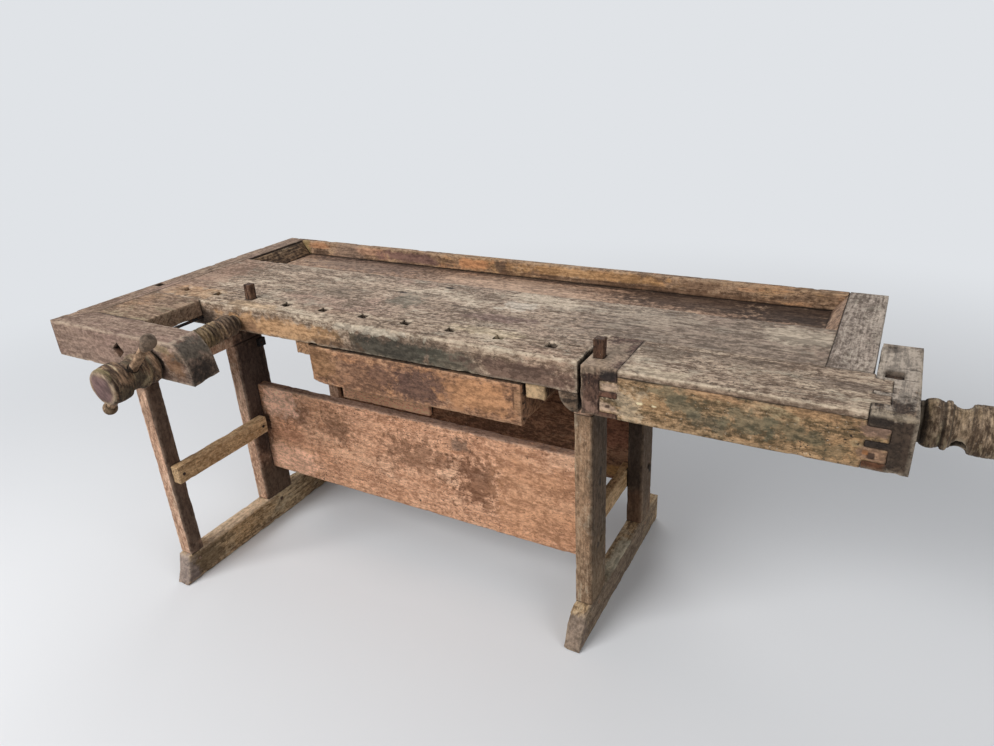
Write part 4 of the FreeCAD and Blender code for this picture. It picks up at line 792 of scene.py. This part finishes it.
RUNNER_SPOTS = [((176, 150, 116), (1390, -680, 718), (40, 12, 30), 0.8, 0.8)]
HANDLE_SPOTS = [
    ((92, 78, 66), along_handle(0.36), (34, 34, 34), 0.88, 0.6),
    ((86, 71, 52), along_handle(0.0), (24, 24, 24), 0.75, 0.6),
]
TOP_LOOK = dict(specks=0.8, scratches=0.45, flecks=0.35, cracks=0.5, patches=0.75, rubbed=0.9, fibre=0.7,
                contrast=1.1)
CAST = {"grey": (128, 122, 108), "green": (112, 108, 84), "plum": (122, 98, 92), "rust": (150, 104, 68),
        "brown": (104, 80, 62)}
# name: grain, shift, tones (body, pale, deep, tint), cast, spots, what differs from the usual
FINISHES = {
    "slab": (LONG, 0.0, ((176, 154, 134), (204, 187, 165), (110, 92, 77), (152, 125, 110)), "grey",
        TOP_SPOTS, dict(joint=0.5, **TOP_LOOK)),
    "dog strip": (LONG, 0.0, ((174, 152, 131), (202, 185, 162), (106, 87, 71), (150, 123, 104)), "grey",
        TOP_SPOTS + FRONT_SPOTS, dict(joint=0.5, **TOP_LOOK)),
    "end bracket": (LONG, 1.5, ((110, 92, 76), (140, 124, 106), (52, 42, 35), (96, 76, 60)), "green",
        [], dict(contrast=1.3)),
    "left end board": (DEEP, 2.0, ((152, 129, 110), (176, 155, 134), (106, 85, 70), (142, 112, 95)), "plum",
        [], dict(joint=1.0)),
    "right end board": (DEEP, 3.0, ((166, 151, 138), (190, 175, 160), (108, 94, 83), (142, 124, 112)), "grey",
        [], dict(joint=1.0, contrast=1.1)),
    "tray bottom": (LONG, 4.0, ((178, 146, 122), (196, 168, 142), (96, 74, 60), (150, 120, 98)), "brown",
        TRAY_SPOTS, dict(specks=0.6)),
    "back rail": (LONG, 5.0, ((150, 122, 97), (172, 145, 118), (98, 74, 56), (152, 118, 80)), "rust",
        RAIL_SPOTS, {}),
    "tray ramp": (DEEP, 5.5, ((122, 98, 74), (168, 146, 118), (66, 50, 38), (104, 80, 58)), "brown",
        [], dict(contrast=1.3, cracks=1.0)),
    "vise arm": (LONG, 6.0, ((148, 126, 109), (180, 160, 140), (104, 82, 70), (140, 112, 100)), "plum",
        ARM_SPOTS, dict(specks=0.4, joint=1.0, rubbed=0.8, fibre=0.6, patches=0.45, contrast=0.8)),
    "shoulder block": (LONG, 7.0, ((148, 123, 102), (172, 147, 123), (100, 78, 62), (156, 120, 90)), "green",
        [], dict(joint=0.8, fibre=0.6)),
    "tail vise cover": (LONG, 8.0, ((176, 155, 134), (204, 186, 162), (108, 89, 74), (140, 117, 100)), "grey",
        COVER_SPOTS, dict(joint=0.8, **TOP_LOOK)),
    "tail vise jaw": (UPRIGHT, 9.0, ((104, 78, 66), (160, 138, 116), (48, 34, 29), (88, 58, 52)), "brown",
        JAW_SPOTS, dict(contrast=1.1, patches=0.7, rubbed=0.8, fibre=0.4, joint=1.0)),
    "tail vise cheek": (LONG, 10.0, ((158, 128, 96), (178, 152, 121), (92, 76, 54), (158, 124, 88)), "green",
        CHEEK_SPOTS, dict(contrast=1.05, specks=0.9, scratches=0.9, flecks=0.4, patches=0.7, fibre=0.5, joint=1.0)),
    "end block": (DEEP, 11.0, ((96, 80, 66), (164, 150, 132), (50, 38, 30), (82, 62, 50)), "brown",
        END_BLOCK_SPOTS, dict(contrast=1.3, patches=0.7, rubbed=0.9, scratches=0.7, joint=1.0)),
    "garter key": (UPRIGHT, 11.5, ((66, 50, 40), (90, 72, 58), (34, 25, 20), (90, 66, 48)), "brown",
        [], dict(contrast=1.2)),
    "leg": (UPRIGHT, 12.0, ((202, 166, 140), (214, 184, 161), (146, 110, 88), (188, 146, 120)), "grey",
        LEG_SPOTS, dict(rubbed=0.3, contrast=0.75, fibre=0.6)),
    "right leg": (UPRIGHT, 12.4, ((152, 126, 100), (170, 146, 121), (110, 86, 66), (148, 116, 90)), "grey",
        LEG_SPOTS, dict(rubbed=0.3, contrast=0.75, fibre=0.6)),
    "foot": (DEEP, 13.0, ((186, 158, 122), (200, 178, 146), (114, 92, 68), (172, 138, 98)), "grey",
        FOOT_SPOTS, dict(contrast=0.85, fibre=0.6)),
    "cross rail": (DEEP, 14.0, ((200, 167, 127), (212, 184, 148), (142, 110, 76), (190, 150, 100)), "brown",
        [], dict(rubbed=0.3, contrast=0.7, patches=0.4, fibre=0.6)),
    "drawer runner": (DEEP, 14.5, ((178, 137, 102), (198, 164, 130), (120, 88, 62), (186, 134, 86)), "brown",
        RUNNER_SPOTS, dict(patches=0.4, fibre=0.6)),
    "stretcher": (LONG, 15.0, ((214, 166, 134), (228, 190, 160), (164, 118, 90), (212, 152, 114)), "rust",
        STRETCHER_SPOTS, dict(specks=1.2, scratches=1.0, contrast=0.75, rubbed=0.3, patches=0.4, fibre=0.2)),
    "rear stretcher": (LONG, 15.4, ((150, 110, 84), (172, 134, 106), (98, 68, 50), (146, 102, 74)), "brown",
        REAR_SPOTS, dict(fibre=0.4)),
    # the batten's pale tones are partly painted light too
    "batten": (LONG, 15.8, ((236, 180, 140), (240, 204, 170), (190, 140, 104), (230, 172, 114)), "rust",
        BATTEN_PAINTED_LIGHT, dict(patches=0.3, fibre=0.4)),
    "drawer": (LONG, 16.0, ((166, 125, 96), (190, 152, 120), (104, 74, 56), (168, 121, 82)), "rust",
        DRAWER_SPOTS, dict(scratches=0.7, rubbed=0.4, fibre=0.4, contrast=0.85)),
    "front screw": (screw_axis, 17.0, ((141, 113, 89), (178, 158, 134), (66, 50, 38), (108, 92, 62)), "green",
        SCREW_SPOTS, dict(contrast=1.1, patches=0.7, rubbed=0.7, joint=0.8, shine=0.3, turned=True)),
    "tail screw": (LONG, 17.5, ((150, 129, 106), (184, 167, 144), (80, 63, 47), (118, 98, 70)), "green",
        [], dict(contrast=1.2, patches=0.7, rubbed=0.8, joint=0.8, shine=0.3, turned=True)),
    "handle": (handle_axis, 18.0, ((164, 135, 108), (188, 162, 135), (98, 76, 58), (168, 134, 104)), "brown",
        HANDLE_SPOTS, dict(contrast=0.9, patches=0.5, shine=0.3, fibre=0.5)),
    "dog": (UPRIGHT, 19.0, ((80, 56, 42), (102, 78, 60), (40, 26, 18), (72, 48, 35)), "brown",
        [], dict(rubbed=0.3)),
}
finish_made = {}


def give_finish(obj, name):
    """Puts one finish on the whole object. Pieces with the same finish share it."""
    if name not in finish_made:
        if name == "iron":
            finish_made[name] = iron()
        else:
            *looks, amounts = FINISHES[name]
            finish_made[name] = wood(name, *looks, **amounts)
    obj.data.materials.clear()
    obj.data.materials.append(finish_made[name])


dressed = set()


def dress(obj, node, name):
    """Finish and body of a new piece, and the node that it stands for."""
    give_finish(obj, name)
    obj.data.polygons.foreach_set("use_smooth", np.ones(len(obj.data.polygons), bool))
    obj.data.update()
    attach(obj, node_body[node])
    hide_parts(node)
    dressed.add(node)


# -------------- timbers
# nodes: finish, grain axis, face size, rounding, dents, waves, the last four in millimetres
TIMBERS = {
    "bench_slab": ("slab", 0, 3.5, 2.5, 3, 0.8),
    "dog_strip": ("dog strip", 0, 2.4, 4, 5, 0.9),
    "slab_end_bracket": ("end bracket", 0, 3, 2.5, 4, 0.5),
    "end_board_left": ("left end board", 1, 3.5, 2, 2.5, 0.5),
    "end_board_right": ("right end board", 1, 3.5, 1.5, 2.5, 0.5),
    "front_vise_arm": ("vise arm", 0, 2, 1.6, 2, 0.5),
    "front_vise_block": ("shoulder block", 0, 3, 2.5, 3, 0.6),
    "tray_bottom": ("tray bottom", 0, 6, 1, 1, 0.6),
    "tray_back_rail": ("back rail", 0, 4, 2, 2.5, 0.5),
    "tray_ramp_left": ("tray ramp", 1, 4, 1, 1, 0.6),
    "tray_ramp_right": ("tray bottom", 1, 4, 1, 1, 0.6),
    "tail_jaw": ("tail vise jaw", 2, 2.5, 3, 3.5, 0.6),
    "tail_cheek": ("tail vise cheek", 0, 3, 1.5, 2, 0.6),
    "tail_cover": ("tail vise cover", 0, 3, 2, 2.5, 0.6),
    "tail_end_block": ("end block", 1, 2.5, 3, 4, 0.6),
    "tail_garter_key": ("garter key", 2, 2, 1, 1, 0.3),
    "tail_guide_bar": ("foot", 0, 5, 1, 1, 0.3),
    "tail_guide_keepers": ("foot", 1, 5, 1, 1, 0.3),
    "tail_guide_strip": ("foot", 0, 4, 0.5, 0.5, 0.2),
    "tail_screw_nut": ("tail vise jaw", 0, 4, 1.5, 2, 0.4),
    "left_front_leg left_middle_leg": ("leg", 2, 3.5, 2, 2, 0.5),
    "left_rear_leg": ("leg", 2, 5, 2, 2, 0.5),
    "right_front_leg": ("right leg", 2, 3.5, 2, 2, 0.5),
    "right_rear_leg": ("right leg", 2, 4, 2, 2, 0.5),
    "left_foot right_foot": ("foot", 1, 3.5, 3, 3.5, 0.6),
    "left_bearer right_bearer": ("leg", 1, 5, 2, 2, 0.5),
    "left_mid_rail right_mid_rail": ("cross rail", 1, 3, 1.5, 2, 0.4),
    "front_stretcher": ("stretcher", 0, 4, 1.5, 2, 0.8),
    "rear_stretcher": ("rear stretcher", 0, 5.5, 1.5, 2, 0.8),
    "rear_stretcher_batten": ("batten", 0, 4, 1, 2, 0.5),
    "drawer_front": ("drawer", 0, 3, 2, 2.5, 0.6),
    "drawer_side_left drawer_side_right": ("drawer", 1, 4.5, 1, 1, 0.3),
    "drawer_back": ("drawer", 0, 5, 1, 1, 0.3),
    "drawer_bottom": ("drawer", 0, 4, 0.5, 0.5, 0.2),
    "drawer_runner_left drawer_runner_right": ("drawer runner", 1, 3, 1.5, 2, 0.4),
    "slab_dog jaw_dog": ("dog", 2, 1.5, 1.2, 1.2, 0.4),
}
TIMBER_SEED, NEXT_TIMBER = 100, 41


def timbers():
    rows = [(node, row) for nodes, row in TIMBERS.items() for node in nodes.split()]
    for index, (node, (name, along, face, worn, dented, wavy)) in enumerate(rows):
        mesh = even_skin(node + "_worn", frame["nodes"][node], face * MM, 2)
        wear(mesh, node, TIMBER_SEED + NEXT_TIMBER * index, worn * MM, dented * MM, wavy * MM, along)
        dress(new_object(node + "_worn", mesh), node, name)


# -------------- screws
THREAD_R, THREAD_DEPTH, PITCH = 0.0335, 0.0048, 0.012
CREST, FLANK = 0.34, 0.56   # shares of the half pitch
AROUND = 72                 # points in a ring of the thread
RINGS_A_TURN = 9
MID_THREAD = 0.030          # radius where dirt in the groove gives way to the crest, rubbed pale and painted with a highlight
HEAD_R = 0.028              # lathe marks show outside this radius
HEAD_OFF_ARM = 0.004
CHIP_SIZE, CHIP_DEPTH = 0.013, 0.0026
RING_TURN, RING_DEPTH = 1.05, 0.00035            # fine turned rings: radians in a millimetre, and metres
HOLLOW_SIZE, HOLLOW_DEPTH = 0.02, 0.0011
SCREW_FACE, SMALL_FACE = 1.6 * MM, 1.4 * MM

# turned grooves: place along the axis, depth and half width in millimetres
FRONT_GROOVES = [(29, 1.2, 1.6), (49, 0.9, 1.4), (57, 1.0, 1.6), (90, 1.4, 2.2), (103, 0.9, 1.4), (127, 0.9, 1.4),
                 (133.5, 2.0, 2.2)]
TAIL_GROOVES = [(7, 1.2, 2.0), (36, 0.9, 1.6), (42, 2.0, 2.2), (49, 1.0, 1.3), (57, 1.6, 2.0), (62, 0.8, 1.4),
                (92, 1.2, 1.8), (101, 0.9, 1.4), (112, 0.8, 1.4), (127, 1.0, 1.6)]
TAIL_HEAD_AT = 2            # millimetres from the end block to the first groove's zero


def basis(axis):
    """Rows: two directions across the axis, and the axis."""
    axis = Vector(axis).normalized()
    side = Vector((1, 0, 0)) if abs(axis.x) < 0.9 else Vector((0, 0, 1))
    across = axis.cross(side).normalized()
    return np.array([axis.cross(across), across, axis])


def round_axis(points, root, rows):
    """Distance of each point from the axis through the root, and its place along that axis."""
    local = (points - np.array(root)) @ rows.T
    return np.hypot(local[:, 0], local[:, 1]), local[:, 2]


def thread_rings(root, rows, length):
    """Points of a rounded right-hand thread that runs back from the root, and the faces that close it."""
    share = np.linspace(0, 1, AROUND, endpoint=False)
    turn = np.linspace(0, 2 * math.pi, AROUND, endpoint=False)
    count = int(length / PITCH * RINGS_A_TURN)
    points, faces = [], []
    for ring in range(count + 1):
        along = length * ring / count - length
        phase = (along / PITCH - share) % 1.0
        radius = THREAD_R - THREAD_DEPTH * eased(rise(np.abs(phase - 0.5) * 2, CREST, FLANK))
        local = np.stack([radius * np.cos(turn), radius * np.sin(turn), np.full(AROUND, along)], axis=1)
        points.append(local @ rows + np.array(root))
    for here in range(0, count * AROUND, AROUND):
        for j in range(AROUND):
            k = (j + 1) % AROUND
            faces.append((here + j, here + k, here + AROUND + k, here + AROUND + j))
    faces.append(tuple(range(AROUND))[::-1])
    faces.append(tuple(range(count * AROUND, (count + 1) * AROUND)))
    return np.concatenate(points), faces


def thread_mesh(root, rows, length, seed):
    """The thread, chipped on its crests."""
    points, faces = thread_rings(root, rows, length)
    axis = rows[2]
    away = points - np.array(root) - np.outer((points - np.array(root)) @ axis, axis)
    distance = np.maximum(np.linalg.norm(away, axis=1), 1e-6)
    chip = rough_field(points, CHIP_SIZE, seed, 3) * CHIP_DEPTH
    mesh = bpy.data.meshes.new("thread")
    mesh.from_pydata((points - away * (chip / distance)[:, None]).tolist(), [], faces)
    return mesh


def beyond_plane(mesh, point, direction):
    """The part of an even skin beyond a plane, closed again."""
    work = bmesh.new()
    work.from_mesh(mesh)
    geometry = work.verts[:] + work.edges[:] + work.faces[:]
    bmesh.ops.bisect_plane(work, geom=geometry, plane_co=point, plane_no=direction, clear_inner=True)
    bmesh.ops.holes_fill(work, edges=[e for e in work.edges if e.is_boundary], sides=0)
    made = bpy.data.meshes.new(mesh.name)
    work.to_mesh(made)
    work.free()
    return made


def lathe_marks(mesh, root, rows, grooves, seed):
    """Turned grooves, fine rings and small hollows on the outside of a turned head."""
    points = coords(mesh)
    radius, along = round_axis(points, root, rows)
    outside = rise(radius, HEAD_R, 0.006)
    cut = np.zeros(len(points))
    for place, depth, half_width in grooves:
        cut = np.maximum(cut, depth * MM * (1 - rise(np.abs(along / MM - place), 0, half_width)))
    fine = np.abs(np.sin(along / MM * RING_TURN)) ** 8 * RING_DEPTH
    hollow = rough_field(points, HOLLOW_SIZE, seed, 3) * HOLLOW_DEPTH
    set_coords(mesh, points - normals(mesh) * ((cut + fine + hollow) * outside)[:, None])
    set_mask(mesh, "seam", np.maximum(get_mask(mesh, "seam"), rise(cut, 0, 0.0012) * outside))


def wooden_screw(node, name, axis, root, thread_length, grooves, seed):
    """Turned head with lathe marks and wear, joined to a thread with a real helix."""
    rows = basis(axis)
    head = even_skin(node + "_turned", frame["nodes"][node], SCREW_FACE, 1)
    head = beyond_plane(head, root, Vector(axis))
    wear(head, node, seed, 0.9 * MM, 0.6 * MM, 0.1 * MM, int(np.argmax(np.abs(rows[2]))))
    lathe_marks(head, root, rows, grooves, seed + 1)
    both = bmesh.new()
    both.from_mesh(head)
    head_count = len(both.verts)
    both.from_mesh(thread_mesh(root, rows, thread_length, seed + 3))
    mesh = bpy.data.meshes.new(node + "_turned")
    both.to_mesh(mesh)
    both.free()
    radius, _ = round_axis(coords(mesh), root, rows)
    threaded = np.arange(len(radius)) >= head_count
    rubbed = rise(radius, MID_THREAD, 0.003) * 0.20
    dirty = rise(-radius, -MID_THREAD, 0.002) * 0.22
    for mask, values in (("edge", rubbed), ("seam", dirty)):
        set_mask(mesh, mask, np.where(threaded, values, get_mask(mesh, mask)))
    dress(new_object(node + "_turned", mesh), node, name)


def screws():
    pivot = Vector(joints["front_screw_turn"]["pos_m"])
    arm_low, arm_high = boxes["front_vise_arm"]
    arm_half = (arm_high.y - arm_low.y) / 2 / abs(screw_axis[1])
    root = pivot + Vector(screw_axis) * (arm_half + HEAD_OFF_ARM)
    pad_low, pad_high = boxes["front_screw_pad"]
    length = abs(pivot.y - (pad_low.y + pad_high.y) / 2) + arm_half - 0.001
    wooden_screw("front_screw", "front screw", screw_axis, root, length, FRONT_GROOVES, 301)
    root = Vector(joints["tail_screw_turn"]["pos_m"])
    length = root.x - boxes["tail_screw"][0].x
    head_at = (boxes["tail_end_block"][1].x - root.x) / MM + TAIL_HEAD_AT
    grooves = [(head_at + place, depth, half_width) for place, depth, half_width in TAIL_GROOVES]
    wooden_screw("tail_screw", "tail screw", joints["tail_screw_turn"]["axis"], root, length, grooves, 302)


def small_turned():
    """The front screw's handle, the knob and the pad."""
    for index, (node, name) in enumerate((("front_handle", "handle"), ("front_handle_knob", "handle"),
                                          ("front_screw_pad", "front screw"))):
        mesh = even_skin(node + "_turned", frame["nodes"][node], SMALL_FACE, 1)
        wear(mesh, node, 500 + index, 0.8 * MM, 1.2 * MM, 0.4 * MM, 2)
        points = coords(mesh)
        hollow = rough_field(points, 0.016, 520 + index, 3) * 0.0014
        set_coords(mesh, points - normals(mesh) * hollow[:, None])
        dress(new_object(node + "_turned", mesh), node, name)


def carried_over():
    """Fasteners keep their own solids and get a finish."""
    for node, obj in frame["nodes"].items():
        if node not in dressed:
            give_finish(obj, "leg" if node == "tenon_pegs" else "iron")


# -------------- stage, camera, light
STUDIO = paint(224, 227, 231)
SKY = 0.30                  # the studio's own light on the bench
FLOOR_HALF = 60.0
FADE_START, FADE_END = 1.3, 4.2
LAMPS_AIM_AT = Vector((0, 0, 0.65))
CAMERA_AT = Vector((0.9281, -1.4819, 1.4700))
CAMERA_RIGHT = Vector((0.874076, 0.482892, -0.052976))
CAMERA_AHEAD = Vector((-0.459252, 0.785851, -0.414157))
FOCAL_PIXELS = 724.91
PICTURE_WIDTH = 994
SENSOR = 36.0


def camera():
    data = bpy.data.cameras.new("camera")
    data.sensor_width = SENSOR
    data.lens = SENSOR * FOCAL_PIXELS / PICTURE_WIDTH
    data.clip_start = 0.05
    obj = new_object("camera", data)
    ahead = CAMERA_AHEAD.normalized()
    right = (CAMERA_RIGHT - ahead * CAMERA_RIGHT.dot(ahead)).normalized()
    turn = Matrix((right, right.cross(ahead), -ahead)).transposed().to_4x4()
    obj.matrix_world = Matrix.Translation(CAMERA_AT) @ turn
    bpy.context.scene.camera = obj


def seen_directly(tree):
    """1 for rays from the camera, mirrored or not, and 0 for rays that only carry light."""
    path = tree.node("ShaderNodeLightPath").outputs
    direct = tree.math("MAXIMUM", path["Is Camera Ray"], path["Is Glossy Ray"])
    return tree.math("MAXIMUM", direct, path["Is Transmission Ray"])


def stage():
    """Pale floor that fades into the pale studio. Rays that only light the bench see it darker."""
    mesh = bpy.data.meshes.new("floor")
    corners = [(x * FLOOR_HALF, y * FLOOR_HALF, 0) for x, y in ((-1, -1), (1, -1), (1, 1), (-1, 1))]
    mesh.from_pydata(corners, [], [(0, 1, 2, 3)])
    floor = new_object("floor", mesh)
    material, tree = new_material("pale floor")
    seen = seen_directly(tree)
    place = tree.node("ShaderNodeNewGeometry").outputs["Position"]
    far = tree.ramp(tree.vector("LENGTH", place), FADE_START, FADE_END)
    near = tree.node("ShaderNodeBsdfPrincipled", {}, {
        "Base Color": tree.mix(seen, paint(150, 148, 145), paint(222, 223, 225)), "Roughness": 0.9,
        "Specular IOR Level": 0.1})
    glow = tree.node("ShaderNodeEmission", {}, {"Color": STUDIO, "Strength": 1.0})
    both = tree.node("ShaderNodeMixShader", {}, {
        0: tree.times(far, seen), 1: near.outputs[0], 2: glow.outputs[0]})
    tree.node("ShaderNodeOutputMaterial", {}, {"Surface": both.outputs[0]})
    mesh.materials.append(material)

    world = bpy.data.worlds.new("studio")
    bpy.context.scene.world = world
    world.use_nodes = True
    tree = Tree(world.node_tree)
    background = world.node_tree.nodes["Background"].inputs
    tree.plug(background["Color"], STUDIO)
    tree.plug(background["Strength"], tree.plus(tree.times(seen_directly(tree), 1 - SKY), SKY))


def lamp(name, towards, distance, size, level):
    """A large soft lamp. level is how bright it makes white that faces it."""
    data = bpy.data.lights.new(name, "AREA")
    data.shape = "RECTANGLE"
    data.size, data.size_y = size
    data.energy = level * math.pi ** 2 * distance ** 2
    obj = new_object(name, data)
    towards = Vector(towards).normalized()
    turn = towards.to_track_quat("Z", "Y").to_matrix().to_4x4()
    obj.matrix_world = Matrix.Translation(LAMPS_AIM_AT + towards * distance) @ turn
    obj.visible_camera = False


timbers()
screws()
small_turned()
carried_over()
stage()
camera()
lamp("window", (-0.38, -0.74, 0.56), 5.0, (3.4, 2.4), 1.00)
lamp("back fill", (-0.35, 0.75, 0.55), 5.0, (3.0, 2.4), 0.28)
lamp("side fill", (0.85, -0.35, 0.40), 5.0, (3.0, 2.4), 0.30)
bpy.context.scene.view_settings.view_transform = "Standard"
